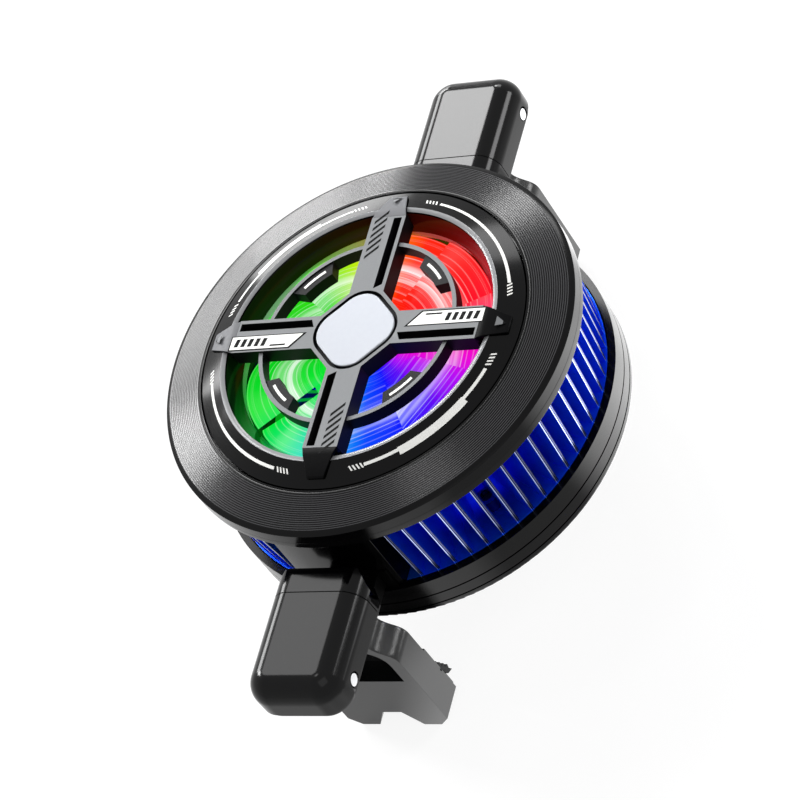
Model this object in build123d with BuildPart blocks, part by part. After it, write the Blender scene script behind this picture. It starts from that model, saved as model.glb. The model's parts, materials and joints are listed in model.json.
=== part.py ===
from build123d import *
import math
import os

# Phone cooling fan with two sliding clip arms, in millimetres.
# The cold face that touches the phone lies at Z = 0, the fan blows in from +Z,
# and the two arms slide out along +Y and -Y. Both clips are the same part, so
# the upper one is the lower one turned half round about the fan's axis.

# Driving sizes
puck_r = 30.0           # outside of the front ring and of the flange
tube_r = 18.6           # inside of the fan tube

# Shared by all pieces
cut_over = 1.0          # how far a cut runs past the face it opens
seat_gap = 0.05         # gap between curved faces that seat in each other
slide_gap = 0.15        # gap round the sliding tongues
part_gap = 0.2          # gap between neighbouring pieces that never touch
sides = (1, -1)         # right and left of a middle line
half_round = 180.0      # degrees
quarters = 4            # the grille's arms and what repeats with them
quarter_deg = 90.0
diagonal_deg = 45.0

# Rear housing
rim_step = 0.6          # rim lies this far inside the flange
rim_wall = 1.0
rim_floor_w = 4.2
rim_floor_t = 1.2
rim_foot_r = 0.5        # rounding of the bottom edge
rim_groove_d = 0.18
rim_groove_w = 0.26
rim_groove_low = 1.2    # first groove above the bottom edge
rim_groove_high = 3.16
boss_r = 1.1
boss_inset = 1.8        # from the rim's inside
boss_h = 1.4

# Cold stack, from the phone outwards
pad_inset = 0.5
pad_t = 0.5
plate_t = 1.6
plate_lip_w = 1.0
plate_lip_t = 0.4
cooler_side = 30.0      # thermoelectric module, square
cooler_t = 3.3
cooler_skin_t = 0.7     # ceramic plates of the module
cooler_block = 1.8      # semiconductor blocks between the plates
cooler_rows = 6
cooler_pitch = 4.6
screw_inset = 1.4       # clamp screws, from the cold plate's edge
clamp_count = 4
first_clamp_deg = 45.0
clamp_shank_r = 0.8
clamp_head_r = 1.5
clamp_head_t = 0.8
clamp_length = 7.8
clamp_clear = 0.12
clamp_slot_w = 0.35
clamp_slot_t = 0.3

# Supply board and socket
board_gap = 0.3         # from the rim's inside
board_w = 3.1
board_t = 0.8
board_slot_half = 4.9
socket_w = 8.94
socket_h = 3.2
socket_len = 7.3
socket_wall = 0.3
socket_corner = 1.2
socket_floor_gap = 0.45
socket_set_in = 0.3     # mouth behind the rim's outer face
tongue_bar_w = 6.7
tongue_bar_t = 0.7
tongue_bar_len = 4.6
socket_tab_w = 1.1
socket_tab_len = 1.6
socket_tab_t = 0.3
socket_back_t = 0.6
socket_hole_gap = 0.2

# Heat sink
sink_base_t = 1.2
fin_count = 72
fin_t = 0.5
fin_h = 12.3
fin_inset = 0.9         # fins' tops lie this far inside the flange's edge
fin_tube_gap = 0.4
low_fin_reach = 6.6     # fins reach further in under the fan
clamp_boss_r = 1.5
clamp_boss_h = 2.0

# Guide and arms
guide_wall = 1.35
guide_floor_t = 0.5
guide_roof_t = 0.6
guide_on_rim = 0.2      # guide's ends lie on the rim
tongue_half_w = 3.9
tongue_t = 2.6
tongue_in = 6.0         # inner end of a tongue, from the middle
slot_half_w = 1.45
slot_in = 9.5
post_r = 0.9
post_inset = 1.6        # from the guide's end
spring_wire_r = 0.2
spring_sides = 6
spring_r = 0.95
spring_turns = 7
spring_flat = 0.1       # gap at each end of the spring

# Fan housing
deck_t = 1.1
tube_wall = 1.0
tube_bottom_gap = 0.2
lamp_seat_h = 0.2       # tube stands this far above the deck
gate_wide = 8.9         # gate: closed wall between the fins that an arm slides through
gate_slim = 6.4
gate_inset = 1.2        # from the flange's edge
gate_depth = 3.4

# Front ring
bezel_reach = 5.3       # inner edge outside the tube's inside
bezel_side_h = 1.6
bezel_edge_w = 0.7
bezel_edge_h = 0.36
bezel_rise = 1.24
bezel_wall = 1.1
ledge_w = 1.3
ledge_t = 0.7

# Inner ring
trim_gap = 0.2          # dark gap to the front ring
trim_out_h = 1.6
trim_cone_w = 3.38
trim_lip_h = 2.9
trim_lip_w = 0.67
trim_lip_drop = 0.1
trim_wall = 1.1
trim_foot_w = 1.2

# Grille
grille_top = 3.4        # above the trim's seat
grille_t = 2.5
arm_half_w = 2.6
arm_lap = 0.1           # arms end this far outside the inner ring's floor
hub_half = 6.09         # centre to each side of the square hub
ring_inset = 4.1        # thin ring inside the tube's radius
ring_w = 0.6
ring_drop = 0.4         # thin ring lies lower than the arms
ring_t = 2.0
tab_len = 2.5
tab_wide_deg = 14.5
tab_slim_deg = 11.0
tab_drop = 0.6
tab_t = 1.8
groove_off = 1.46       # slot's middle from the arm's middle
groove_w = 1.2
groove_start = 1.11
groove_end = 0.3
groove_t = 1.5
badge_frame = 0.95
badge_round = 3.4
badge_gap = 0.43
badge_t = 0.9
badge_edge = 0.15
tip_inset = 1.3         # end pieces stop short of the front ring
tip_half_w = 1.25
tip_flat_len = 1.1
tip_drop = 0.85
tip_t = 0.3
tip_hold = 0.5
tip_step_t = 1.1

# Lamps
lamp_board_gap = 0.4
lamp_board_inset = 2.4
lamp_board_t = 0.8
lamp_count = 12
lamp_side = 1.6
lamp_t = 0.7
lamp_inset = 1.0

# Fan wheel and motor
blade_count = 9
blade_gap = 0.4         # blade tips to the tube
blade_top_gap = 0.4     # under the trim's seat
blade_h = 3.0
blade_t = 0.8
blade_root_in = 2.0     # blades start this far inside the hub
blade_root_run = 6.5    # how far a blade sweeps round at its root
blade_tip_run = 16.0
blade_bow = 0.4
wheel_hub_r = 9.0
wheel_hub_wall = 0.9
wheel_hub_top_t = 2.4
wheel_hub_round = 1.0
fan_base_t = 1.2
fan_base_over = 0.4
fan_spoke_count = 4
first_spoke_deg = 45.0
fan_spoke_w = 2.2
fan_rim_w = 0.9
cup_wall = 0.5
cup_h = 5.6
cup_foot_gap = 0.7
magnet_t = 0.7
magnet_h = 4.4
shaft_r = 1.0
shaft_fit = 0.04
shaft_end_gap = 0.1
bearing_r = 2.2
bearing_h = 5.0
core_foot_gap = 1.1
core_h = 3.8
core_yoke_w = 1.1
core_tooth_count = 6
core_tooth_w = 1.3
core_shoe_t = 0.5
core_shoe_deg = 20.0
core_air_gap = 0.3
coil_wall = 0.7
coil_over = 0.5
coil_gap = 0.1
coil_set_in = 0.35

# Clip covers
clip_shift = 0.6        # each clip's middle line lies beside its arm's
cap_clear = 0.6         # cover to the flange
collar_len = 4.4
cap_len = 19.5
cap_half_w = 6.95
cap_h = 5.35
cap_top_round = 3.1
cap_corner_round = 3.6
collar_top_round = 1.8
collar_corner_w = 2.0
collar_corner_len = 3.0
cap_wall = 1.1
seam_gap = 0.12
cap_lift = 0.4          # base plate above the tongue
base_plate_t = 0.8
base_plate_inset = 0.35

# Jaw
jaw_clear = 3.5         # jaw's face outside the flange
jaw_t = 4.9
jaw_half_w = 7.65
jaw_neck_half_w = 4.8
jaw_end = 11.9          # below the phone's face
jaw_corner = 1.6
jaw_shoulder_low = 4.2
jaw_shoulder_high = 8.8
rest_proud = 0.3        # band that rests against the phone's edge
rest_top = 0.3          # below the phone's face
rest_gap = 0.5          # from the band to the hook
pocket_half_w = 5.9
pocket_floor = 0.4      # below the phone's face
pocket_side = 3.0
pocket_top = 7.4
pocket_t = 3.2
pocket_rib_w = 0.8
pocket_rib_off = 4.9
pocket_rib_t = 1.6
pocket_rib_h = 1.9
notch_half_w = 3.4
notch_top_half_w = 1.4
notch_h = 3.3
hook_reach = 1.6
hook_top = 5.8          # below the phone's face, where the hook starts
hook_mid = 9.6
grip_t = 1.2
grip_half_w = 6.4
grip_teeth = 4
grip_tooth_h = 0.45
grip_lip = 0.9

# Arm block, pin and screws inside a cover
neck_post_t = 1.5
block_half_w = 4.6
block_h = 3.4
block_end_gap = 2.2
pin_r = 0.85
pin_ring_gap = 0.25
pin_inset = 4.7         # from the cover's outer end
pin_lift = 0.85         # above the cover's lower edge
pin_sunk = 0.05
jaw_screw_r = 0.8
jaw_screw_off = 2.6
jaw_screw_head_r = 1.4
jaw_screw_head_t = 0.8
jaw_screw_bite = 2.4
jaw_screw_clear = 0.1

# Radii and places worked out from the driving sizes
rim_r = puck_r - rim_step
rim_inner_r = rim_r - rim_wall
plate_r = rim_inner_r - rim_floor_w - part_gap
pad_r = plate_r - pad_inset
foam_r = plate_r + part_gap
screw_circle_r = plate_r - screw_inset
boss_circle_r = rim_inner_r - boss_inset
board_r = rim_inner_r - board_gap
sink_base_r = rim_inner_r - part_gap
fin_foot_r = sink_base_r - part_gap
fin_top_r = puck_r - fin_inset
tube_out_r = tube_r + tube_wall
fin_inner_r = tube_out_r + fin_tube_gap
low_fin_r = tube_r - low_fin_reach
guide_half_len = rim_inner_r + guide_on_rim
post_y = guide_half_len - post_inset
gate_out_r = puck_r - gate_inset
gate_in_y = gate_out_r - gate_depth
bezel_in_r = tube_r + bezel_reach
trim_out_r = bezel_in_r - trim_gap
trim_lip_r = trim_out_r - trim_cone_w
trim_floor_r = tube_r - part_gap
arm_r = trim_floor_r + arm_lap
tip_r = bezel_in_r - tip_inset
tip_flat_r = arm_r + tip_flat_len
tip_step_r = arm_r + tip_hold
groove_in_r = hub_half + groove_start
groove_out_r = arm_r - groove_end
badge_half = hub_half - badge_frame
ring_out_r = tube_r - ring_inset
tab_in_r = ring_out_r - tab_len
lamp_board_in_r = tube_out_r + lamp_board_gap
lamp_board_out_r = puck_r - bezel_wall - lamp_board_inset
lamp_circle_r = lamp_board_in_r + lamp_inset
blade_tip_r = tube_r - blade_gap
fan_base_r = wheel_hub_r + fan_base_over
cap_in = puck_r + cap_clear
cap_seam = cap_in + collar_len
cap_out = cap_in + cap_len
jaw_in = puck_r + jaw_clear
jaw_out = jaw_in + jaw_t
hook_in = jaw_in - hook_reach
block_in = cap_in + cap_wall
block_out = cap_out - block_end_gap
pin_y = cap_out - pin_inset

# Levels worked out from the stack
z_lip = pad_t + plate_t
z_cooler = z_lip + plate_lip_t
z_base = z_cooler + cooler_t
z_fins = z_base + sink_base_t
z_rim = z_lip - rim_floor_t
z_deck = z_fins + fin_h
z_seam = z_deck + deck_t
z_seat = z_seam + bezel_side_h
z_board = z_lip + boss_h
z_socket = z_lip + socket_floor_gap
z_tongue = z_fins + guide_floor_t + slide_gap
z_guide_roof = z_tongue + tongue_t + slide_gap
z_fan = z_guide_roof + guide_roof_t
z_fan_top = z_fan + fan_base_t
z_cap = z_tongue + tongue_t + cap_lift
z_cap_wall = z_cap + base_plate_t
z_cap_top = z_cap_wall + cap_h
z_grille = z_seat + grille_top
z_blade = z_seat - blade_top_gap
z_pin = z_cap_wall + pin_lift
trim_top = z_seat + trim_lip_h
guide_half_w = tongue_half_w + slide_gap + guide_wall
channel_half_w = guide_half_w + slide_gap
room_half_w = channel_half_w + part_gap
z_lamp_ring = z_seam + lamp_seat_h


def save(shape, name):
    shape.label = name
    export_step(shape, "parts/" + name + ".step")


os.makedirs("parts", exist_ok=True)

# Soft contact pad on the cold plate
with BuildPart() as contact_pad:
    Cylinder(pad_r, pad_t, align=(Align.CENTER, Align.CENTER, Align.MIN))
save(contact_pad.part, "contact_pad")

# Cold plate: a disc whose lip rests on the rear housing's floor
with BuildPart() as cold_plate:
    with BuildSketch(Plane.XY.offset(pad_t)):
        Circle(plate_r)
    extrude(amount=plate_t)
    with BuildSketch(Plane.XY.offset(z_lip)):
        Circle(plate_r + plate_lip_w)
    extrude(amount=plate_lip_t)
    with BuildSketch(Plane.XY.offset(pad_t)):
        with PolarLocations(screw_circle_r, clamp_count, start_angle=first_clamp_deg):
            Circle(clamp_shank_r + clamp_clear)
    extrude(amount=plate_t + plate_lip_t, mode=Mode.SUBTRACT)
    with BuildSketch(Plane.XY.offset(pad_t)):
        with PolarLocations(screw_circle_r, clamp_count, start_angle=first_clamp_deg):
            Circle(clamp_head_r + clamp_clear)
    extrude(amount=clamp_head_t, mode=Mode.SUBTRACT)
save(cold_plate.part, "cold_plate")

# Thermoelectric module: two ceramic skins with a field of small blocks between
with BuildPart() as peltier_module:
    for level in (z_cooler, z_base - cooler_skin_t):
        with BuildSketch(Plane.XY.offset(level)):
            Rectangle(cooler_side, cooler_side)
        extrude(amount=cooler_skin_t)
    with BuildSketch(Plane.XY.offset(z_cooler + cooler_skin_t)):
        with GridLocations(cooler_pitch, cooler_pitch, cooler_rows, cooler_rows):
            Rectangle(cooler_block, cooler_block)
    extrude(amount=cooler_t - 2 * cooler_skin_t)
save(peltier_module.part, "peltier_module")

# Foam ring that fills the space round the module
with BuildPart() as foam_ring:
    with BuildSketch(Plane.XY.offset(z_cooler)):
        Circle(foam_r)
        Rectangle(cooler_side + part_gap, cooler_side + part_gap, mode=Mode.SUBTRACT)
        with PolarLocations(screw_circle_r, clamp_count, start_angle=first_clamp_deg):
            Circle(clamp_shank_r + clamp_clear, mode=Mode.SUBTRACT)
        with Locations((-foam_r, 0)):
            socket_room = 2 * (foam_r - rim_r + socket_set_in + socket_len + part_gap)
            Rectangle(socket_room, 2 * board_slot_half, mode=Mode.SUBTRACT)
    extrude(amount=cooler_t)
save(foam_ring.part, "foam_ring")

# Rear housing: a shallow ring with a stepped, grooved rim and a floor
with BuildPart() as rear_housing:
    with BuildSketch(Plane.XZ):
        with BuildLine():
            Polyline(
                (plate_r + part_gap, z_rim),
                (rim_r, z_rim),
                (rim_r, z_fins),
                (rim_inner_r, z_fins),
                (rim_inner_r, z_lip),
                (plate_r + part_gap, z_lip),
                close=True,
            )
        make_face()
    revolve(axis=Axis.Z)
    foot_edges = rear_housing.edges().filter_by(GeomType.CIRCLE).group_by(Axis.Z)[0]
    fillet(foot_edges.sort_by(SortBy.RADIUS)[-1], rim_foot_r)
    for groove_z in (z_rim + rim_groove_low, z_rim + rim_groove_high):
        with BuildSketch(Plane.XY.offset(groove_z - rim_groove_w / 2)):
            Circle(rim_r + cut_over)
            Circle(rim_r - rim_groove_d, mode=Mode.SUBTRACT)
        extrude(amount=rim_groove_w, mode=Mode.SUBTRACT)
    with BuildSketch(Plane.XY.offset(z_lip)):
        with PolarLocations(boss_circle_r, clamp_count, start_angle=first_clamp_deg):
            Circle(boss_r)
    extrude(amount=boss_h)
    mouth_plane = Plane(origin=(-rim_r - cut_over, 0, z_socket + socket_h / 2), z_dir=(1, 0, 0))
    with BuildSketch(mouth_plane):
        RectangleRounded(
            socket_h + 2 * socket_hole_gap,
            socket_w + 2 * socket_hole_gap,
            socket_corner + socket_hole_gap,
        )
    extrude(amount=rim_wall + 2 * cut_over, mode=Mode.SUBTRACT)
save(rear_housing.part, "rear_housing")

# Supply board: a ring on four bosses, open where the socket sits
with BuildPart() as control_board:
    with BuildSketch(Plane.XY.offset(z_board)):
        Circle(board_r)
        Circle(board_r - board_w, mode=Mode.SUBTRACT)
        with Locations((-board_r, 0)):
            Rectangle(2 * (board_w + cut_over), 2 * board_slot_half, mode=Mode.SUBTRACT)
    extrude(amount=board_t)
save(control_board.part, "control_board")

# Power socket: a rounded metal shell, a closed back and the contact tongue
socket_x = -rim_r + socket_set_in
socket_mid_z = z_socket + socket_h / 2
with BuildPart() as usb_socket:
    with BuildSketch(Plane(origin=(socket_x, 0, socket_mid_z), z_dir=(1, 0, 0))):
        RectangleRounded(socket_h, socket_w, socket_corner)
        RectangleRounded(
            socket_h - 2 * socket_wall,
            socket_w - 2 * socket_wall,
            socket_corner - socket_wall,
            mode=Mode.SUBTRACT,
        )
    extrude(amount=socket_len)
    back_x = socket_x + socket_len - socket_back_t
    with BuildSketch(Plane(origin=(back_x, 0, socket_mid_z), z_dir=(1, 0, 0))):
        RectangleRounded(socket_h, socket_w, socket_corner)
    extrude(amount=socket_back_t)
    with BuildSketch(Plane(origin=(back_x, 0, socket_mid_z), z_dir=(-1, 0, 0))):
        Rectangle(tongue_bar_t, tongue_bar_w)
    extrude(amount=tongue_bar_len)
    tab_x = -(board_r - board_w / 2)
    tab_reach = board_slot_half + socket_tab_w
    with BuildSketch(Plane.XY.offset(z_board + board_t)):
        for tab_side in sides:
            with Locations((tab_x, tab_side * (tab_reach + socket_w / 2 - socket_wall) / 2)):
                Rectangle(socket_tab_len, tab_reach - socket_w / 2 + socket_wall)
    extrude(amount=socket_tab_t)
save(usb_socket.part, "usb_socket")

# Heat sink: a round base with upright radial fins that lean in towards the base
fin_pitch_deg = 360 / fin_count
with BuildPart() as heat_sink:
    with BuildSketch(Plane.XY.offset(z_base)):
        Circle(sink_base_r)
        with Locations((0, 0)):
            with PolarLocations(screw_circle_r, clamp_count, start_angle=first_clamp_deg):
                Circle(clamp_shank_r + clamp_clear, mode=Mode.SUBTRACT)
    extrude(amount=sink_base_t)
    with BuildSketch(Plane.XZ, mode=Mode.PRIVATE) as fin_side:
        with BuildLine():
            Polyline(
                (low_fin_r, z_fins - sink_base_t / 2),
                (fin_foot_r, z_fins - sink_base_t / 2),
                (fin_foot_r, z_fins),
                (fin_top_r, z_deck),
                (fin_inner_r, z_deck),
                (fin_inner_r, z_fan),
                (low_fin_r, z_fan),
                close=True,
            )
        make_face()
    fin = extrude(fin_side.sketch, amount=fin_t / 2, both=True, mode=Mode.PRIVATE)
    with PolarLocations(0, fin_count, start_angle=fin_pitch_deg / 2):
        add(fin)
    # the channel for the guide, and the room for the gates across it
    channel_len = 2 * (fin_top_r + cut_over)
    with BuildSketch(Plane.XY.offset(z_fins)):
        Rectangle(2 * channel_half_w, channel_len)
    extrude(amount=z_fan - z_fins, mode=Mode.SUBTRACT)
    room_out_y = fin_top_r + cut_over
    with BuildSketch(Plane.XY.offset(z_fins)):
        for half_turn in (0, half_round):
            with Locations(Location((0, 0, 0), (0, 0, half_turn))):
                Polygon(
                    (-room_half_w, -low_fin_r),
                    (-room_half_w, -room_out_y),
                    (room_half_w, -room_out_y),
                    (room_half_w, -low_fin_r),
                    align=None,
                )
                Polygon(
                    (-gate_wide - part_gap, -gate_in_y + part_gap),
                    (-gate_wide - part_gap, -room_out_y),
                    (gate_slim + part_gap, -room_out_y),
                    (gate_slim + part_gap, -gate_in_y + part_gap),
                    align=None,
                )
    extrude(amount=fin_h + cut_over, mode=Mode.SUBTRACT)
    with BuildSketch(Plane.XY.offset(z_fins)):
        with PolarLocations(screw_circle_r, clamp_count, start_angle=first_clamp_deg):
            Circle(clamp_boss_r)
            Circle(clamp_shank_r + clamp_clear, mode=Mode.SUBTRACT)
    extrude(amount=clamp_boss_h)
    with BuildSketch(Plane.XY.offset(z_base - cut_over)):
        with PolarLocations(screw_circle_r, clamp_count, start_angle=first_clamp_deg):
            Circle(clamp_shank_r + clamp_clear)
    extrude(amount=cut_over + sink_base_t + clamp_boss_h, mode=Mode.SUBTRACT)
# thin slips of fin that the cuts leave loose are dropped
save(heat_sink.solids().sort_by(SortBy.VOLUME)[-1], "heat_sink")

# Clamp screws: countersunk in the cold plate, held in the heat sink's bosses
with BuildPart() as clamp_screws:
    with BuildSketch(Plane.XY.offset(pad_t)):
        with PolarLocations(screw_circle_r, clamp_count, start_angle=first_clamp_deg):
            Circle(clamp_head_r)
    extrude(amount=clamp_head_t)
    with BuildSketch(Plane.XY.offset(pad_t + clamp_head_t)):
        with PolarLocations(screw_circle_r, clamp_count, start_angle=first_clamp_deg):
            Circle(clamp_shank_r)
    extrude(amount=clamp_length - clamp_head_t)
    with BuildSketch(Plane.XY.offset(pad_t)):
        with PolarLocations(screw_circle_r, clamp_count, start_angle=first_clamp_deg):
            Rectangle(2 * clamp_shank_r, clamp_slot_w)
    extrude(amount=clamp_slot_t, mode=Mode.SUBTRACT)
save(clamp_screws.part, "clamp_screws")

# Guide: a flat tube right across the heat sink with a post for each spring
with BuildPart() as arm_guide:
    with BuildSketch(Plane.XY.offset(z_fins)):
        Rectangle(2 * guide_half_w, 2 * guide_half_len)
    extrude(amount=z_fan - z_fins)
    with BuildSketch(Plane.XY.offset(z_fins + guide_floor_t)):
        Rectangle(2 * (tongue_half_w + slide_gap), 2 * (guide_half_len + cut_over))
    extrude(amount=z_guide_roof - z_fins - guide_floor_t, mode=Mode.SUBTRACT)
    with BuildSketch(Plane.XY.offset(z_fins + guide_floor_t)):
        for side in sides:
            with Locations((0, side * post_y)):
                Circle(post_r)
    extrude(amount=z_guide_roof - z_fins - guide_floor_t)
save(arm_guide.part, "arm_guide")

# Fan housing: flange, tube round the fan wheel, and a gate on each side: a closed
# wall between the fins, open at its foot where the arm slides through
with BuildPart() as fan_housing:
    with BuildSketch(Plane.XY.offset(z_deck)):
        Circle(puck_r)
        Circle(tube_r, mode=Mode.SUBTRACT)
    extrude(amount=deck_t)
    with BuildSketch(Plane.XY.offset(z_fan + tube_bottom_gap)):
        Circle(tube_out_r)
        Circle(tube_r, mode=Mode.SUBTRACT)
    extrude(amount=z_lamp_ring - z_fan - tube_bottom_gap)
    with BuildSketch(Plane.XY, mode=Mode.PRIVATE) as gate_plan:
        Polygon(
            (-gate_wide, -gate_in_y),
            (-gate_wide, -puck_r),
            (gate_slim, -puck_r),
            (gate_slim, -gate_in_y),
            align=None,
        )
        Circle(gate_out_r, mode=Mode.INTERSECT)
    with BuildSketch(Plane.XY.offset(z_fins)):
        for half_turn in (0, half_round):
            with Locations(Location((0, 0, 0), (0, 0, half_turn))):
                add(gate_plan.sketch)
    extrude(amount=z_deck - z_fins)
    with BuildSketch(Plane.XY.offset(z_fins)):
        Rectangle(2 * channel_half_w, 2 * puck_r)
        Circle(gate_in_y - gate_depth, mode=Mode.SUBTRACT)
    extrude(amount=z_fan + tube_bottom_gap - z_fins, mode=Mode.SUBTRACT)
save(fan_housing.part, "fan_housing")

# Lamp board and its lamps on the flange
with BuildPart() as lamp_board:
    with BuildSketch(Plane.XY.offset(z_seam)):
        Circle(lamp_board_out_r)
        Circle(lamp_board_in_r, mode=Mode.SUBTRACT)
    extrude(amount=lamp_board_t)
save(lamp_board.part, "lamp_board")

with BuildPart() as lamps:
    with BuildSketch(Plane.XY.offset(z_seam + lamp_board_t)):
        with PolarLocations(lamp_circle_r, lamp_count):
            Rectangle(lamp_side, lamp_side)
    extrude(amount=lamp_t)
save(lamps.part, "lamps")

# Clear ring that spreads the lamps' light into the fan wheel
with BuildPart() as light_ring:
    with BuildSketch(Plane.XY.offset(z_lamp_ring)):
        Circle(tube_out_r)
        Circle(tube_r, mode=Mode.SUBTRACT)
    extrude(amount=z_seat - z_lamp_ring)
save(light_ring.part, "light_ring")

# Front ring: a wide turned cone with a ledge that carries the inner ring
bezel_top_r = puck_r - bezel_edge_w
bezel_edge_z = z_seat + bezel_edge_h
bezel_top_z = bezel_edge_z + bezel_rise
with BuildPart() as bezel_ring:
    with BuildSketch(Plane.XZ):
        with BuildLine():
            Polyline(
                (puck_r, z_seam),
                (puck_r, z_seat),
                (bezel_top_r, bezel_edge_z),
                (bezel_in_r, bezel_top_z),
                (bezel_in_r, z_seat),
                (bezel_in_r - ledge_w, z_seat),
                (bezel_in_r - ledge_w, z_seat - ledge_t),
                (bezel_in_r + bezel_wall, z_seat - ledge_t),
                (bezel_in_r + bezel_wall, bezel_top_z - bezel_wall),
                (puck_r - bezel_wall, bezel_edge_z - bezel_wall),
                (puck_r - bezel_wall, z_seam),
                close=True,
            )
        make_face()
    revolve(axis=Axis.Z)
save(bezel_ring.part, "bezel_ring")

# Inner ring: a cone up to a light lip, then a funnel down to the fan wheel
with BuildPart() as trim_ring:
    with BuildSketch(Plane.XZ):
        with BuildLine():
            Polyline(
                (trim_out_r, z_seat),
                (trim_out_r, z_seat + trim_out_h),
                (trim_lip_r, trim_top),
                (trim_lip_r - trim_lip_w, trim_top - trim_lip_drop),
                (trim_floor_r, z_seat),
                (trim_floor_r + trim_foot_w, z_seat),
                (trim_lip_r, trim_top - trim_wall),
                (trim_out_r - trim_wall, z_seat + trim_out_h - trim_wall),
                (trim_out_r - trim_wall, z_seat),
                close=True,
            )
        make_face()
    revolve(axis=Axis.Z)
save(trim_ring.part, "trim_ring")

# Grille: a cross on a square hub, joined to a thin ring with four tabs
with BuildPart() as grille:
    with BuildSketch(Plane.XY.offset(z_grille - grille_t)):
        Rectangle(2 * arm_r, 2 * arm_half_w)
        Rectangle(2 * arm_half_w, 2 * arm_r)
        Rectangle(2 * hub_half, 2 * hub_half, rotation=diagonal_deg)
    extrude(amount=grille_t)
    with BuildSketch(Plane.XY.offset(z_grille - ring_drop - ring_t)):
        Circle(ring_out_r)
        Circle(ring_out_r - ring_w, mode=Mode.SUBTRACT)
    extrude(amount=ring_t)
    tab_top_r = ring_out_r - ring_w / 2
    with BuildSketch(Plane.XY.offset(z_grille - tab_drop - tab_t)):
        for quarter in range(quarters):
            middle = quarter_deg * quarter + diagonal_deg
            outer_a = (tab_top_r, middle - tab_wide_deg)
            outer_b = (tab_top_r, middle + tab_wide_deg)
            inner_a = (tab_in_r, middle - tab_slim_deg)
            inner_b = (tab_in_r, middle + tab_slim_deg)
            corners = [
                (r * math.cos(math.radians(a)), r * math.sin(math.radians(a)))
                for r, a in (outer_a, outer_b, inner_b, inner_a)
            ]
            outer_mid = Vector(tab_top_r, 0).rotate(Axis.Z, middle)
            inner_mid = Vector(tab_in_r, 0).rotate(Axis.Z, middle)
            with BuildLine():
                ThreePointArc(corners[0], outer_mid, corners[1])
                Line(corners[1], corners[2])
                ThreePointArc(corners[2], inner_mid, corners[3])
                Line(corners[3], corners[0])
            make_face()
    extrude(amount=tab_t)
    # one open slot along the clockwise side of each arm
    with BuildSketch(Plane.XY.offset(z_grille - groove_t)):
        for quarter in range(quarters):
            with Locations(Location((0, 0, 0), (0, 0, quarter_deg * quarter))):
                Polygon(
                    (groove_in_r, -groove_off - groove_w / 2),
                    (groove_out_r, -groove_off - groove_w / 2),
                    (groove_out_r, -groove_off + groove_w / 2),
                    (groove_in_r - groove_w / 2, -groove_off + groove_w / 2),
                    align=None,
                )
    extrude(amount=groove_t + cut_over, mode=Mode.SUBTRACT)
    recess_half = badge_half + badge_gap
    with BuildSketch(Plane.XY.offset(z_grille - badge_t)):
        with Locations(Location((0, 0, 0), (0, 0, diagonal_deg))):
            RectangleRounded(2 * recess_half, 2 * recess_half, badge_round + badge_gap)
    extrude(amount=badge_t + cut_over, mode=Mode.SUBTRACT)
save(grille.part, "grille")

# Bright plate in the middle of the grille
with BuildPart() as badge_plate:
    with BuildSketch(Plane.XY.offset(z_grille - badge_t)):
        with Locations(Location((0, 0, 0), (0, 0, diagonal_deg))):
            RectangleRounded(2 * badge_half, 2 * badge_half, badge_round)
    extrude(amount=badge_t)
    fillet(badge_plate.edges().group_by(Axis.Z)[-1], badge_edge)
save(badge_plate.part, "badge_plate")

# Dark end pieces that carry the grille's arms down onto the inner ring
trim_fall = (trim_lip_h - trim_out_h) / (trim_out_r - trim_lip_r)
tip_foot_z = trim_top - (tip_r - trim_lip_r) * trim_fall + seat_gap
with BuildPart() as grille_ends:
    with BuildSketch(Plane.XZ, mode=Mode.PRIVATE) as end_side:
        with BuildLine():
            Polyline(
                (arm_r, z_grille),
                (tip_flat_r, z_grille),
                (tip_r - tip_t, z_grille - tip_drop),
                (tip_r, tip_foot_z + tip_t),
                (tip_r, tip_foot_z),
                (trim_lip_r, trim_top + seat_gap),
                (tip_step_r, trim_top + seat_gap),
                (tip_step_r, z_grille - tip_step_t),
                (arm_r, z_grille - tip_step_t),
                close=True,
            )
        make_face()
    side_cut = extrude(end_side.sketch, amount=arm_half_w + cut_over, both=True, mode=Mode.PRIVATE)
    with BuildSketch(Plane.XY, mode=Mode.PRIVATE) as end_plan:
        with BuildLine():
            Polyline(
                (arm_r, arm_half_w),
                (tip_r, tip_half_w),
                (tip_r, -tip_half_w),
                (arm_r, -arm_half_w),
                close=True,
            )
        make_face()
    plan_cut = extrude(end_plan.sketch, amount=z_grille + cut_over, mode=Mode.PRIVATE)
    end_piece = side_cut & plan_cut
    with PolarLocations(0, quarters):
        add(end_piece)
save(grille_ends.part, "grille_ends")

# Fan base: a disc with spokes and a rim that sits in the bottom of the tube
fan_rim_r = tube_r - seat_gap
with BuildPart() as fan_base:
    with BuildSketch(Plane.XY.offset(z_fan)):
        Circle(fan_base_r)
        with PolarLocations(0, fan_spoke_count, start_angle=first_spoke_deg):
            Rectangle(
                fan_rim_r - fan_rim_w / 2,
                fan_spoke_w,
                align=(Align.MIN, Align.CENTER),
            )
        with BuildSketch(mode=Mode.PRIVATE) as rim_sketch:
            Circle(fan_rim_r)
            Circle(fan_rim_r - fan_rim_w, mode=Mode.SUBTRACT)
        add(rim_sketch.sketch)
    extrude(amount=fan_base_t)
save(fan_base.part, "fan_base")

with BuildPart() as bearing_sleeve:
    with BuildSketch(Plane.XY.offset(z_fan_top)):
        Circle(bearing_r)
        Circle(shaft_r + shaft_fit, mode=Mode.SUBTRACT)
    extrude(amount=bearing_h)
save(bearing_sleeve.part, "bearing_sleeve")

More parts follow.
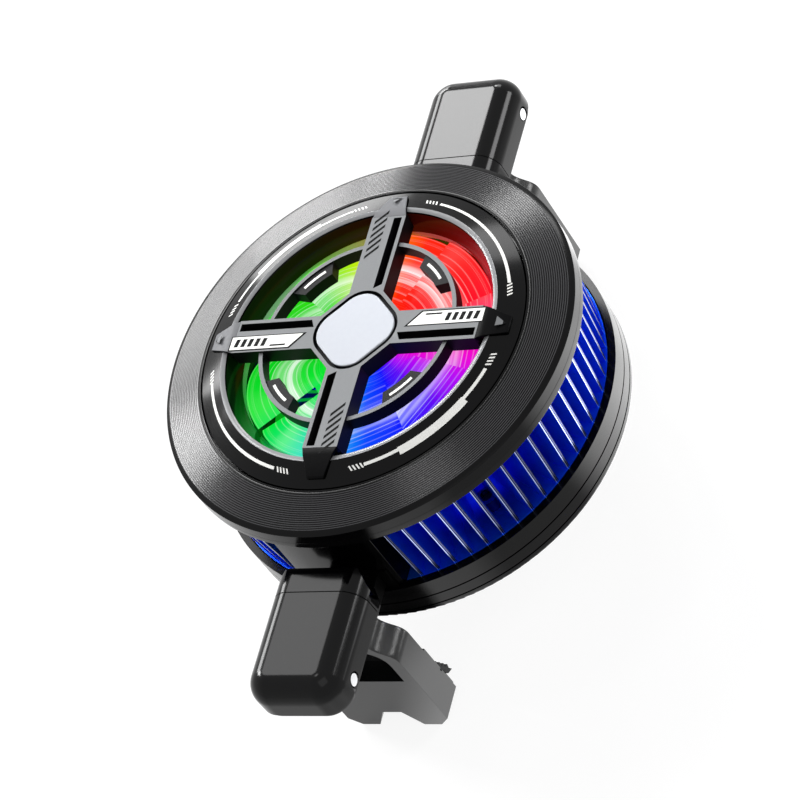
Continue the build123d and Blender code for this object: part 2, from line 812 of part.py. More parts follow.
# Stator: a toothed core on the bearing, one coil round each tooth
cup_in_r = wheel_hub_r - wheel_hub_wall - seat_gap - cup_wall
magnet_out_r = cup_in_r - seat_gap
core_r = magnet_out_r - magnet_t - core_air_gap
core_z = z_fan_top + core_foot_gap
yoke_r = bearing_r + seat_gap + core_yoke_w
with BuildPart() as stator_core:
    with BuildSketch(Plane.XY.offset(core_z)):
        Circle(yoke_r)
        with PolarLocations(0, core_tooth_count):
            Rectangle(
                core_r - core_shoe_t / 2,
                core_tooth_w,
                align=(Align.MIN, Align.CENTER),
            )
        with BuildSketch(mode=Mode.PRIVATE) as shoe_sketch:
            Circle(core_r)
            Circle(core_r - core_shoe_t, mode=Mode.SUBTRACT)
            slit_w = core_r * math.radians(core_shoe_deg)
            with PolarLocations(core_r, core_tooth_count, start_angle=half_round / core_tooth_count):
                Rectangle(2 * core_shoe_t + cut_over, slit_w, mode=Mode.SUBTRACT)
        add(shoe_sketch.sketch)
        Circle(bearing_r + seat_gap, mode=Mode.SUBTRACT)
    extrude(amount=core_h)
save(stator_core.part, "stator_core")

coil_in_x = yoke_r + coil_set_in
coil_out_x = core_r - core_shoe_t - coil_set_in
coil_len = coil_out_x - coil_in_x
with BuildPart() as stator_windings:
    coil_plane = Plane(origin=(coil_in_x, 0, core_z + core_h / 2), z_dir=(1, 0, 0))
    with BuildSketch(coil_plane, mode=Mode.PRIVATE) as coil_section:
        RectangleRounded(
            core_h + 2 * coil_over,
            core_tooth_w + 2 * coil_wall,
            coil_over,
        )
        Rectangle(core_h + 2 * coil_gap, core_tooth_w + 2 * coil_gap, mode=Mode.SUBTRACT)
    coil = extrude(coil_section.sketch, amount=coil_len, mode=Mode.PRIVATE)
    with PolarLocations(0, core_tooth_count):
        add(coil)
save(stator_windings.part, "stator_windings")

# Rotor: shaft, steel cup, ring magnet and the fan wheel
cup_z = z_fan_top + cup_foot_gap
cup_top = cup_z + cup_h
with BuildPart() as rotor_cup:
    with BuildSketch(Plane.XY.offset(cup_z)):
        Circle(cup_in_r + cup_wall)
        Circle(cup_in_r, mode=Mode.SUBTRACT)
    extrude(amount=cup_h)
    with BuildSketch(Plane.XY.offset(cup_top - cup_wall)):
        Circle(cup_in_r + cup_wall)
        Circle(shaft_r + shaft_fit, mode=Mode.SUBTRACT)
    extrude(amount=cup_wall)
save(rotor_cup.part, "rotor_cup")

with BuildPart() as rotor_magnet:
    with BuildSketch(Plane.XY.offset(cup_top - cup_wall - magnet_h)):
        Circle(magnet_out_r)
        Circle(magnet_out_r - magnet_t, mode=Mode.SUBTRACT)
    extrude(amount=magnet_h)
save(rotor_magnet.part, "rotor_magnet")

with BuildPart() as rotor_shaft:
    with BuildSketch(Plane.XY.offset(z_fan_top + shaft_end_gap)):
        Circle(shaft_r)
    extrude(amount=cup_top + wheel_hub_top_t - z_fan_top - shaft_end_gap)
save(rotor_shaft.part, "rotor_shaft")


def blade_outline(run):
    """Points of a bowed blade section: along the turn first, then up the axis."""
    low = (-run / 2, -blade_h / 2)
    high = (run / 2, blade_h / 2)
    slope = math.atan2(blade_h, run)
    side_x = -math.sin(slope)
    side_y = math.cos(slope)
    inner = (blade_bow * side_x, blade_bow * side_y)
    outer_bow = blade_bow + blade_t
    outer = (outer_bow * side_x, outer_bow * side_y)
    return low, inner, high, outer


wheel_z = z_blade - blade_h
with BuildPart() as impeller:
    with BuildSketch(Plane.XY.offset(cup_z)):
        Circle(wheel_hub_r)
    extrude(amount=cup_top + wheel_hub_top_t - cup_z)
    fillet(impeller.edges().group_by(Axis.Z)[-1], wheel_hub_round)
    with BuildSketch(Plane.XY.offset(cup_z)):
        Circle(wheel_hub_r - wheel_hub_wall)
    extrude(amount=cup_h, mode=Mode.SUBTRACT)
    with BuildSketch(Plane.XY.offset(cup_top - cut_over)):
        Circle(shaft_r + shaft_fit)
    extrude(amount=wheel_hub_top_t + 2 * cut_over, mode=Mode.SUBTRACT)
    sections = []
    root_r = wheel_hub_r - blade_root_in
    for section_r, run in ((root_r, blade_root_run), (blade_tip_r, blade_tip_run)):
        low, inner, high, outer = blade_outline(run)
        section_plane = Plane(
            origin=(section_r, 0, z_blade - blade_h / 2), x_dir=(0, 1, 0), z_dir=(1, 0, 0)
        )
        with BuildSketch(section_plane, mode=Mode.PRIVATE) as blade_section:
            with BuildLine():
                ThreePointArc(low, inner, high)
                ThreePointArc(high, outer, low)
            make_face()
        sections.append(blade_section.sketch)
    blade = loft(sections, ruled=True, mode=Mode.PRIVATE)
    with PolarLocations(0, blade_count):
        add(blade)
    with BuildSketch(Plane.XY.offset(wheel_z - cut_over)):
        Circle(puck_r)
        Circle(blade_tip_r, mode=Mode.SUBTRACT)
    extrude(amount=blade_h + 2 * cut_over, mode=Mode.SUBTRACT)
save(impeller.part, "impeller")

# The lower clip is modelled, and the upper one is the same part turned half round.
# Its cover is one rounded form, cut in two at the seam.
with BuildPart() as cover_body:
    with BuildSketch(Plane.XY.offset(z_cap_wall)):
        with Locations((0, -(cap_in + cap_out) / 2)):
            Rectangle(2 * cap_half_w, cap_out - cap_in)
    extrude(amount=cap_h)
    cover_uprights = cover_body.edges().filter_by(Axis.Z).sort_by(Axis.Y)
    fillet(cover_uprights[:2], cap_corner_round)
    top_edges = cover_body.faces().sort_by(Axis.Z)[-1].edges().sort_by(Axis.Y)
    fillet(top_edges[:-1], cap_top_round)
    # inner end: a smaller rounding above, and the corners cut off in plan
    with BuildSketch(Plane.YZ):
        with BuildLine():
            Line((-cap_in, 0), (-cap_in, z_cap_top - collar_top_round))
            RadiusArc(
                (-cap_in, z_cap_top - collar_top_round),
                (-cap_in - collar_top_round, z_cap_top),
                -collar_top_round,
            )
            Polyline(
                (-cap_in - collar_top_round, z_cap_top),
                (-cap_out - cut_over, z_cap_top),
                (-cap_out - cut_over, 0),
                (-cap_in, 0),
            )
        make_face()
    extrude(amount=cap_half_w + cut_over, both=True, mode=Mode.INTERSECT)
    with BuildSketch(Plane.XY.offset(z_cap_wall - cut_over)):
        for side in sides:
            Polygon(
                (side * (cap_half_w - collar_corner_w), -cap_in),
                (side * (cap_half_w - collar_corner_w), -cap_in + cut_over),
                (side * (cap_half_w + cut_over), -cap_in + cut_over),
                (side * (cap_half_w + cut_over), -cap_in - collar_corner_len),
                (side * cap_half_w, -cap_in - collar_corner_len),
                align=None,
            )
    extrude(amount=cap_h + 2 * cut_over, mode=Mode.SUBTRACT)
    with BuildSketch(Plane.XY.offset(z_cap_wall)):
        with Locations((0, -(cap_in + cap_out) / 2)):
            Rectangle(2 * block_half_w, cap_out - cap_in - 2 * cap_wall)
    extrude(amount=block_h, mode=Mode.SUBTRACT)
    with BuildSketch(Plane(origin=(0, -pin_y, z_pin), z_dir=(1, 0, 0))):
        Circle(pin_r + pin_ring_gap)
    extrude(amount=cap_half_w + cut_over, both=True, mode=Mode.SUBTRACT)

cover = cover_body.part
cut_w = 4 * cap_half_w
cut_h = 4 * cap_h
outer_box = Pos(0, -cap_seam - seam_gap / 2, z_cap_wall) * Box(
    cut_w, cap_out, cut_h, align=(Align.CENTER, Align.MAX, Align.CENTER)
)
inner_box = Pos(0, -cap_seam + seam_gap / 2, z_cap_wall) * Box(
    cut_w, cap_out, cut_h, align=(Align.CENTER, Align.MIN, Align.CENTER)
)
cap_shape = cover & outer_box
collar_shape = cover & inner_box

# Plate that closes the cover from below
with BuildPart() as cover_plate:
    with BuildSketch(Plane.XY.offset(z_cap)):
        with Locations((0, -(jaw_in + cap_out - base_plate_inset) / 2)):
            Rectangle(
                2 * (cap_half_w - base_plate_inset), cap_out - base_plate_inset - jaw_in
            )
    extrude(amount=base_plate_t)
    plate_uprights = cover_plate.edges().filter_by(Axis.Z).sort_by(Axis.Y)
    fillet(plate_uprights[:2], cap_corner_round - base_plate_inset)
    with BuildSketch(Plane.XY.offset(z_cap - cut_over)):
        for side in sides:
            with Locations((side * jaw_screw_off, -(jaw_in + jaw_out) / 2)):
                Circle(jaw_screw_r + jaw_screw_clear)
    extrude(amount=base_plate_t + 2 * cut_over, mode=Mode.SUBTRACT)

# Arm: the flat tongue in the guide, a short neck and the block inside the cover
clip_x = -clip_shift
with BuildPart() as arm:
    with BuildSketch(Plane.XY.offset(z_tongue)):
        with Locations((0, -(tongue_in + jaw_in - slide_gap) / 2)):
            Rectangle(2 * tongue_half_w, jaw_in - slide_gap - tongue_in)
        slot_out = post_y + post_r + slide_gap
        with Locations((0, -(slot_in + slot_out) / 2)):
            Rectangle(2 * slot_half_w, slot_out - slot_in, mode=Mode.SUBTRACT)
    extrude(amount=tongue_t)
    with BuildSketch(Plane.XY.offset(z_tongue)):
        with Locations((0, -(jaw_in - slide_gap - neck_post_t / 2))):
            Rectangle(2 * tongue_half_w, neck_post_t)
    extrude(amount=z_cap_wall + block_h - z_tongue - seat_gap)
    with BuildSketch(Plane.XY.offset(z_cap_wall)):
        with Locations((clip_x, -(block_in + block_out) / 2)):
            Rectangle(2 * (block_half_w - seat_gap), block_out - block_in - 2 * seat_gap)
    extrude(amount=block_h - seat_gap)
    with BuildSketch(Plane.XY.offset(z_cap_wall - cut_over)):
        for side in sides:
            with Locations((clip_x + side * jaw_screw_off, -(jaw_in + jaw_out) / 2)):
                Circle(jaw_screw_r + jaw_screw_clear)
    extrude(amount=block_h + 2 * cut_over, mode=Mode.SUBTRACT)
    with BuildSketch(Plane.XY.offset(z_cap_wall + block_h - jaw_screw_head_t - seat_gap)):
        for side in sides:
            with Locations((clip_x + side * jaw_screw_off, -(jaw_in + jaw_out) / 2)):
                Circle(jaw_screw_head_r + jaw_screw_clear)
    extrude(amount=jaw_screw_head_t + cut_over, mode=Mode.SUBTRACT)
    with BuildSketch(Plane(origin=(0, -pin_y, z_pin), z_dir=(1, 0, 0))):
        Circle(pin_r + seat_gap)
    extrude(amount=cap_half_w, both=True, mode=Mode.SUBTRACT)

# Pin through the cover and the block
with BuildPart() as cover_pin:
    with BuildSketch(Plane(origin=(0, -pin_y, z_pin), z_dir=(1, 0, 0))):
        Circle(pin_r)
    extrude(amount=cap_half_w - pin_sunk, both=True)

# Jaw: a bracket with rounded shoulders, a pocket in front and a hook below
with BuildPart() as jaw:
    with BuildSketch(Plane.XZ.offset(jaw_in)):
        with BuildLine():
            right_top = (jaw_neck_half_w, z_cap)
            right_high = (jaw_neck_half_w, jaw_shoulder_high)
            right_low = (jaw_half_w, jaw_shoulder_low)
            right_side = (jaw_half_w, -jaw_end + jaw_corner)
            right_end = (jaw_half_w - jaw_corner, -jaw_end)
            Line(right_top, right_high)
            Spline(right_high, right_low, tangents=((0, -1), (0, -1)))
            Line(right_low, right_side)
            Line(right_side, right_end)
            Polyline(
                right_end,
                (notch_half_w, -jaw_end),
                (notch_top_half_w, -jaw_end + notch_h),
                (0, -jaw_end + notch_h),
            )
            Line((0, z_cap), right_top)
            Line((0, -jaw_end + notch_h), (0, z_cap))
        make_face()
        mirror(about=Plane.YZ)
    extrude(amount=jaw_out - jaw_in)
    # only a band of the inner face rests against the phone's edge
    with BuildSketch(Plane.XZ.offset(jaw_in - cut_over)):
        with Locations((0, (z_cap + cut_over - rest_top) / 2)):
            Rectangle(2 * jaw_half_w + cut_over, z_cap + cut_over + rest_top)
        with Locations((0, -hook_top + rest_gap / 2)):
            Rectangle(2 * jaw_half_w + cut_over, rest_gap)
    extrude(amount=cut_over + rest_proud, mode=Mode.SUBTRACT)
    # pocket in the outer face
    with BuildSketch(Plane.XZ.offset(jaw_out)):
        with BuildLine():
            pocket_low = (pocket_half_w, -pocket_floor)
            pocket_high = (pocket_half_w, pocket_side)
            Line((0, -pocket_floor), pocket_low)
            Line(pocket_low, pocket_high)
            Spline(pocket_high, (0, pocket_top), tangents=((0, 1), (-1, 0)))
            Line((0, pocket_top), (0, -pocket_floor))
        make_face()
        mirror(about=Plane.YZ)
    extrude(amount=-pocket_t, mode=Mode.SUBTRACT)
    with BuildSketch(Plane.XZ.offset(jaw_out - pocket_t)):
        with Locations((pocket_rib_off, -pocket_floor + pocket_rib_h / 2)):
            Rectangle(pocket_rib_w, pocket_rib_h)
    extrude(amount=pocket_rib_t)
    # tapped holes for the two screws from the arm
    with BuildSketch(Plane.XY.offset(z_cap)):
        for side in sides:
            with Locations((side * jaw_screw_off, -(jaw_in + jaw_out) / 2)):
                Circle(jaw_screw_r + jaw_screw_clear)
    extrude(amount=-(jaw_screw_bite + part_gap), mode=Mode.SUBTRACT)
    # hook that reaches under the phone's edge
    with BuildSketch(Plane.YZ):
        with BuildLine():
            Polyline(
                (-jaw_in, -hook_top),
                (-hook_in, -hook_mid),
                (-hook_in, -jaw_end),
                (-jaw_in, -jaw_end),
                close=True,
            )
        make_face()
    extrude(amount=jaw_half_w - jaw_corner, both=True)

# Rubber grip on the hook's sloping face, with teeth along the phone's edge
slope_run = jaw_in - hook_in
slope_fall = hook_mid - hook_top
slope_len = math.hypot(slope_run, slope_fall)
tooth_pitch = slope_len / grip_teeth
with BuildPart() as jaw_grip:
    grip_plane = Plane(
        origin=(0, -jaw_in, -hook_top),
        x_dir=(0, slope_run, -slope_fall),
        z_dir=(1, 0, 0),
    )
    with BuildSketch(grip_plane):
        with BuildLine():
            grip_points = [(0, 0), (0, grip_t - grip_tooth_h)]
            for tooth in range(grip_teeth):
                start = tooth * tooth_pitch
                grip_points.append((start + tooth_pitch / 2, grip_t))
                grip_points.append((start + tooth_pitch, grip_t - grip_tooth_h))
            grip_points.append((slope_len + grip_lip, grip_t - grip_tooth_h))
            grip_points.append((slope_len, 0))
            Polyline(*grip_points, close=True)
        make_face()
    extrude(amount=grip_half_w, both=True)

with BuildPart() as jaw_screws:
    screw_y = -(jaw_in + jaw_out) / 2
    screw_top = z_cap_wall + block_h - seat_gap
    with BuildSketch(Plane.XY.offset(screw_top - jaw_screw_head_t)):
        for side in sides:
            with Locations((side * jaw_screw_off, screw_y)):
                Circle(jaw_screw_head_r)
    extrude(amount=jaw_screw_head_t)
    screw_end = z_cap - jaw_screw_bite
    with BuildSketch(Plane.XY.offset(screw_end)):
        for side in sides:
            with Locations((side * jaw_screw_off, screw_y)):
                Circle(jaw_screw_r)
    extrude(amount=screw_top - jaw_screw_head_t - screw_end)

# Return spring: it pushes the tongue's slot back in from the fixed post
spring_start = slot_in + spring_flat
spring_end = post_y - post_r - spring_flat
spring_len = spring_end - spring_start - 2 * spring_wire_r
spring_z = z_tongue + tongue_t / 2
with BuildPart() as return_spring:
    with BuildLine():
        spring_path = Helix(
            spring_len / spring_turns,
            spring_len,
            spring_r,
            center=(0, -spring_start - spring_wire_r, spring_z),
            direction=(0, -1, 0),
        )
    with BuildSketch(Plane(origin=spring_path @ 0, z_dir=spring_path % 0)):
        RegularPolygon(spring_wire_r, spring_sides)
    sweep(path=spring_path, is_frenet=True)

# Everything outside the guide lies on the clip's own middle line
shifted_pieces = {
    "cap": cap_shape,
    "collar": collar_shape,
    "cap_plate": cover_plate.part,
    "cap_pin": cover_pin.part,
    "jaw": jaw.part,
    "jaw_grip": jaw_grip.part,
    "jaw_screws": jaw_screws.part,
}
clip_pieces = {piece: Pos(clip_x, 0, 0) * shape for piece, shape in shifted_pieces.items()}
clip_pieces["arm"] = arm.part
clip_pieces["spring"] = return_spring.part
for piece, shape in clip_pieces.items():
    save(shape, "lower_" + piece)
    save(Rot(0, 0, half_round) * shape, "upper_" + piece)
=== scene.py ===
# %% [markdown]
# # A phone cooling fan with two sliding clips
#
# The object is a round cooler that is clipped to the back of a phone. Its front has a turned
# black ring, a smaller inner ring with printed marks, and a grey cross over a fan wheel that
# glows in all colours. Below the front stand blue heat sink fins, and two sprung clips hold
# the phone. The solid model is loaded first and stays where it is: every new piece is
# modelled over it, in metres.

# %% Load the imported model
import json
import math

import bpy
from mathutils import Matrix, Vector


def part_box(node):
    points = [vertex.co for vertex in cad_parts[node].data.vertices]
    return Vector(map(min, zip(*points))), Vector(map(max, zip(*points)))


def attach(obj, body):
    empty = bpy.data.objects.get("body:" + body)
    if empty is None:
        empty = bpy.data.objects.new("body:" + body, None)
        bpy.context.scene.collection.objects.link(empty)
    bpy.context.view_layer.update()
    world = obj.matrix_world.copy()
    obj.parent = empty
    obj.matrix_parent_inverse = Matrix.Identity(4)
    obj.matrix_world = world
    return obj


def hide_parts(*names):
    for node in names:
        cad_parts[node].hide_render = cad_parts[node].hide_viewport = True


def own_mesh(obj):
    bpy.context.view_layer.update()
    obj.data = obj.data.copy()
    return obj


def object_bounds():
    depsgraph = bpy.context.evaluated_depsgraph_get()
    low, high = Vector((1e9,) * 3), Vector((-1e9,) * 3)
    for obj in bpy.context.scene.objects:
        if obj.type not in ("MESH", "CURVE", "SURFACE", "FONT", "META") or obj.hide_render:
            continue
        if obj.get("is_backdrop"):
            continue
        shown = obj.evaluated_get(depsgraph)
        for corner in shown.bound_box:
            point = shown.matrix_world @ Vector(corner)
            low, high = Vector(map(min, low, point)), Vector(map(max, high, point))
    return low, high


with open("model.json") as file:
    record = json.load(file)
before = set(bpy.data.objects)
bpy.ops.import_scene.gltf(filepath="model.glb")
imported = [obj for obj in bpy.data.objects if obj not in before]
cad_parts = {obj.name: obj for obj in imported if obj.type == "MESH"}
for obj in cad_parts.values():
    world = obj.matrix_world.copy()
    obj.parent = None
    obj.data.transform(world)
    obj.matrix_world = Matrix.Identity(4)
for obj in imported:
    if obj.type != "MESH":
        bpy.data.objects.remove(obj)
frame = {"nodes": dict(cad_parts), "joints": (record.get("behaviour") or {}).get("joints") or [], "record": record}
cad_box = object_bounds()
bpy.ops.object.select_all(action="DESELECT")
print("nodes loaded:", len(frame["nodes"]))

# %% [markdown]
# ## Camera
#
# The camera's place was worked out from the front ring's outline and from the two clips,
# which lie on one line through the fan's middle. A long lens keeps the perspective as slight
# as it is on the product picture. The matrix holds the camera's own three directions.

# %% Camera
LENS, SENSOR = 151.78, 36.0
camera_data = bpy.data.cameras.new("camera")
camera_data.sensor_width = SENSOR
camera_data.lens = LENS
camera_data.clip_start = 0.01
camera_data.clip_end = 20.0
camera = bpy.data.objects.new("camera", camera_data)
bpy.context.scene.collection.objects.link(camera)
right = Vector((0.86926851, 0.24193223, -0.43109286))
up = Vector((0.04499807, 0.8297118, 0.55637532))
forward = Vector((-0.49228796, 0.50303789, -0.71035586))
turned_view = Matrix((right, up, -forward)).transposed().to_4x4()
camera.matrix_world = Matrix.Translation((0.2230322, -0.2293270, 0.3326895)) @ turned_view
bpy.context.scene.camera = camera
bpy.context.scene.view_settings.view_transform = "Standard"
print("camera at", [round(v, 3) for v in camera.matrix_world.translation])

# %% [markdown]
# ## Measures and colours
#
# Sizes below are written in millimetres, as on a drawing, and turned to metres by one factor.
# Colours are written as on a screen. A shader works with linear values, so one function
# turns a screen colour to them, and the same function can make a colour a little brighter.

# %% Measures and colours
MM = 0.001


def linear(code, value=1.0):
    """An sRGB hex colour as linear red, green, blue and alpha, made brighter by value."""
    parts = [int(code[i : i + 2], 16) / 255 for i in (1, 3, 5)]
    parts = [p / 12.92 if p <= 0.04045 else ((p + 0.055) / 1.055) ** 2.4 for p in parts]
    return tuple(value * p for p in parts) + (1.0,)


def grey(value):
    """A linear grey, for ramps that give a plain number."""
    return (value, value, value, 1.0)


print("mid grey is", [round(v, 3) for v in linear("#808080")[:3]])

# %% [markdown]
# ## One way to add a node
#
# All materials here are built from code. One small function adds a node of any kind, sets
# it, and links it to the nodes before it, so that a material reads from top to bottom. An
# input may be a plain value, a node, whose first output is taken, or one of its outputs.

# %% Adding a node
def add_node(tree, kind, settings=None, inputs=None, stops=()):
    """Adds a shader node with its settings, its inputs and the stops of its colour ramp."""
    node = tree.nodes.new("ShaderNode" + kind)
    for name, value in (settings or {}).items():
        setattr(node, name, value)
    for name, value in (inputs or {}).items():
        if isinstance(value, bpy.types.Node):
            value = value.outputs[0]
        if isinstance(value, bpy.types.NodeSocket):
            tree.links.new(value, node.inputs[name])
        else:
            node.inputs[name].default_value = value
    if stops:
        ramp = node.color_ramp
        ramp.elements.remove(ramp.elements[-1])
        ramp.elements[0].position, ramp.elements[0].color = stops[0]
        for place, colour in stops[1:]:
            ramp.elements.new(place).color = colour
    return node


# Short names for the settings that return often.
TIMES, PLUS, MINUS = ({"operation": name} for name in ("MULTIPLY", "ADD", "SUBTRACT"))
TIMES_PLUS, PART = ({"operation": name} for name in ("MULTIPLY_ADD", "FRACT"))
OVER, UNDER = ({"operation": name} for name in ("GREATER_THAN", "LESS_THAN"))
LARGER, SMALLER = ({"operation": name} for name in ("MAXIMUM", "MINIMUM"))
BLEND = {"data_type": "RGBA"}
print("settings with a short name:", 10)

# %% [markdown]
# ## The plain recipe for a finish
#
# Nothing on a real object has one flat colour. Every finish starts from one recipe: a
# principled shader whose colour and roughness wander a little with a noise, and a bump of a
# real depth. The real grain of moulded plastic or anodising is a few hundredths of a
# millimetre, too fine to show at the picture's scale, so it is drawn 0.15 to 0.5 mm wide.
# Moulded plastic, anodised metal and rubber differ in their numbers, and a few finishes get
# more nodes further down.

# %% The plain recipe
def finish(name, colour, roughness, metallic, specular, grain, mottle, bump):
    """A finish whose grain and depth of bump are given in millimetres."""
    material = bpy.data.materials.new(name)
    material.use_nodes = True
    tree = material.node_tree
    shader = tree.nodes["Principled BSDF"]
    place = add_node(tree, "TexCoord").outputs["Object"]
    noise = add_node(
        tree,
        "TexNoise",
        {"noise_dimensions": "3D"},
        {"Vector": place, "Scale": 1 / (grain * MM), "Detail": 3.0},
    ).outputs["Fac"]
    shades = [(0.3, linear(colour, 1 - mottle)), (0.7, linear(colour, 1 + mottle))]
    shade = add_node(tree, "ValToRGB", None, {"Fac": noise}, shades)
    spread = {"Value": noise, "To Min": roughness * 0.9, "To Max": roughness * 1.1}
    rough = add_node(tree, "MapRange", None, spread)
    relief = add_node(
        tree, "Bump", None, {"Height": noise, "Distance": bump * MM, "Strength": 0.6}
    )
    tree.links.new(shade.outputs["Color"], shader.inputs["Base Color"])
    tree.links.new(rough.outputs["Result"], shader.inputs["Roughness"])
    tree.links.new(relief.outputs["Normal"], shader.inputs["Normal"])
    shader.inputs["Metallic"].default_value = metallic
    shader.inputs["Specular IOR Level"].default_value = specular
    return material


# %% [markdown]
# ## Finishes that show
#
# Black gloss plastic is nearly black in itself, and what the eye sees on it is the room. The
# blacks below are therefore very dark, with a low specular level, and the light panels give
# them their greys. The numbers of a finish are its roughness, metallic, specular, grain in
# millimetres, mottle and depth of bump in millimetres.

# %% Finishes that show
finishes = {
    # Anodised aluminium, turned: black with a clear gloss.
    "bezel_black": finish("anodised_black", "#030304", 0.16, 0.0, 0.12, 0.15, 0.05, 0.0002),
    # Moulded ABS, gloss: near black where it faces away from the light.
    "trim_grey": finish("gloss_abs_ring", "#040405", 0.13, 0.0, 0.12, 0.2, 0.06, 0.0003),
    # Painted plastic: a light, even grey without gloss.
    "grille_grey": finish("painted_grey", "#87898b", 0.5, 0.0, 0.08, 0.15, 0.03, 0.002),
    # Moulded ABS, satin: the end pieces.
    "grille_black": finish("satin_abs_black", "#040405", 0.3, 0.0, 0.05, 0.4, 0.05, 0.001),
    # Plated steel, brushed fine: a bright plate that blurs what it shows.
    "badge_silver": finish("plated_bright", "#66686c", 0.36, 1.0, 0.5, 0.6, 0.02, 0.001),
    # Moulded ABS, gloss: the flange and the gates.
    "housing_black": finish("moulded_abs_black", "#040405", 0.16, 0.0, 0.14, 0.3, 0.06, 0.001),
    # Blue anodised aluminium: a deep, saturated metal.
    "sink_blue": finish("anodised_blue", "#1464ff", 0.3, 0.75, 0.3, 0.5, 0.08, 0.002),
    # Moulded ABS of the rear rim.
    "rear_black": finish("moulded_rim_black", "#050506", 0.2, 0.0, 0.14, 0.3, 0.06, 0.001),
    # Gloss ABS of the clip covers.
    "clip_black": finish("gloss_cover_black", "#030304", 0.13, 0.0, 0.16, 0.5, 0.05, 0.0003),
    # Satin ABS of the jaws.
    "jaw_grey": finish("satin_jaw_grey", "#131415", 0.26, 0.0, 0.4, 0.25, 0.08, 0.003),
    # Rubber, slightly dusty.
    "grip_rubber": finish("rubber_grip", "#232324", 0.75, 0.0, 0.3, 0.3, 0.15, 0.02),
    # Turned pin end: a small bright dot.
    "pin_bright": finish("turned_pin", "#f0f1f3", 0.12, 1.0, 0.5, 0.3, 0.04, 0.001),
    # Frosted polycarbonate wheel: black by itself, and lit further down.
    "wheel_clear": finish("frosted_wheel", "#020203", 0.35, 0.0, 0.05, 0.3, 0.05, 0.003),
    # Acetal, a slippery plastic: dull black, and the black ink of the marks.
    "guide_plastic": finish("acetal_black", "#030303", 0.45, 0.0, 0.04, 0.3, 0.06, 0.003),
    # Lamp resin, and the white ink of the marks.
    "lamp_white": finish("lamp_resin", "#f6f6f2", 0.4, 0.0, 0.4, 0.2, 0.02, 0.001),
}
print("finishes that show:", len(finishes))

# %% [markdown]
# ## Finishes inside
#
# The pieces inside are seen only when the object is taken apart, and they get their real
# finish all the same: silicone, ceramic, varnished board, drawn steel and copper wire.

# %% Finishes inside
finishes |= {
    # Silicone heat pad: dull and slightly uneven.
    "pad_grey": finish("silicone_pad", "#8e9194", 0.7, 0.0, 0.3, 0.8, 0.1, 0.02),
    # Rolled aluminium plate: a soft metal shine.
    "plate_metal": finish("rolled_aluminium", "#c8c9cb", 0.35, 1.0, 0.5, 0.3, 0.06, 0.003),
    # Alumina ceramic: chalky white.
    "ceramic_white": finish("alumina", "#e9e8e4", 0.6, 0.0, 0.4, 0.2, 0.03, 0.004),
    # Closed cell foam: dull, with small cells.
    "foam_black": finish("cell_foam", "#1b1b1b", 0.9, 0.0, 0.2, 0.35, 0.25, 0.06),
    # Circuit board varnish: a glossy, cloudy green.
    "board_green": finish("board_varnish", "#0b5a2e", 0.35, 0.0, 0.5, 1.2, 0.2, 0.01),
    # Drawn steel shell of the socket.
    "socket_steel": finish("drawn_steel", "#b9babd", 0.3, 1.0, 0.5, 0.3, 0.06, 0.003),
    # Zinc plated steel of screws, springs and shaft.
    "screw_steel": finish("zinc_steel", "#a5a6aa", 0.32, 1.0, 0.5, 0.25, 0.08, 0.003),
    # Frosted polycarbonate ring before the lamps.
    "light_clear": finish("frosted_ring", "#c9ccd2", 0.4, 0.0, 0.5, 0.3, 0.03, 0.003),
    # Sintered bronze: grainy and warm.
    "bearing_brass": finish("sintered_bronze", "#a37a45", 0.45, 1.0, 0.5, 0.15, 0.12, 0.006),
    # Stamped core steel.
    "motor_steel": finish("core_steel", "#6d6e72", 0.42, 1.0, 0.5, 0.25, 0.1, 0.004),
    # Enamelled copper wire: the grain is one wire wide.
    "winding_copper": finish("enamelled_copper", "#b5622f", 0.3, 1.0, 0.5, 0.15, 0.15, 0.02),
    # Sintered magnet: dark, half metal.
    "magnet_dark": finish("sintered_magnet", "#2b2c2f", 0.5, 0.4, 0.5, 0.2, 0.12, 0.006),
}
print("finishes in all:", len(finishes))

# %% [markdown]
# ## Where a point lies
#
# Several finishes change with the distance from the fan's axis, with the angle round it or
# with the side that a face looks to. These values come from Object coordinates, so that they
# stay on the piece from every side, and one helper hands them to each of these finishes.

# %% Distance, angle, height and facing
def places(tree):
    """Reach and height in millimetres, turn from 0 to 1, how far up and out a face looks."""
    place = add_node(tree, "TexCoord")
    spot = add_node(
        tree, "VectorMath", TIMES, {0: place.outputs["Object"], 1: (1 / MM, 1 / MM, 1 / MM)}
    )
    parts = add_node(tree, "SeparateXYZ", None, {0: spot})
    flat = add_node(tree, "VectorMath", TIMES, {0: spot, 1: (1.0, 1.0, 0.0)})
    reach = add_node(tree, "VectorMath", {"operation": "LENGTH"}, {0: flat})
    angle = add_node(
        tree, "Math", {"operation": "ARCTAN2"}, {0: parts.outputs["Y"], 1: parts.outputs["X"]}
    )
    turn = add_node(
        tree, "MapRange", None, {"Value": angle, "From Min": -math.pi, "From Max": math.pi}
    )
    facing = add_node(tree, "SeparateXYZ", None, {0: place.outputs["Normal"]})
    ahead = add_node(tree, "VectorMath", {"operation": "NORMALIZE"}, {0: flat})
    outward = add_node(
        tree, "VectorMath", {"operation": "DOT_PRODUCT"}, {0: ahead, 1: place.outputs["Normal"]}
    )
    return {
        "reach": reach.outputs["Value"],
        "height": parts.outputs["Z"],
        "turn": turn.outputs["Result"],
        "up": facing.outputs["Z"],
        "out": outward.outputs["Value"],
        "flat": flat,
    }


def opened(slot):
    """A finish's node tree, its shader, its first colour and where its points lie."""
    tree = finishes[slot].node_tree
    shader = tree.nodes["Principled BSDF"]
    colour = shader.inputs["Base Color"].links[0].from_socket
    return tree, shader, colour, places(tree)


print("a point has its reach, height, turn, up, out and flat place")

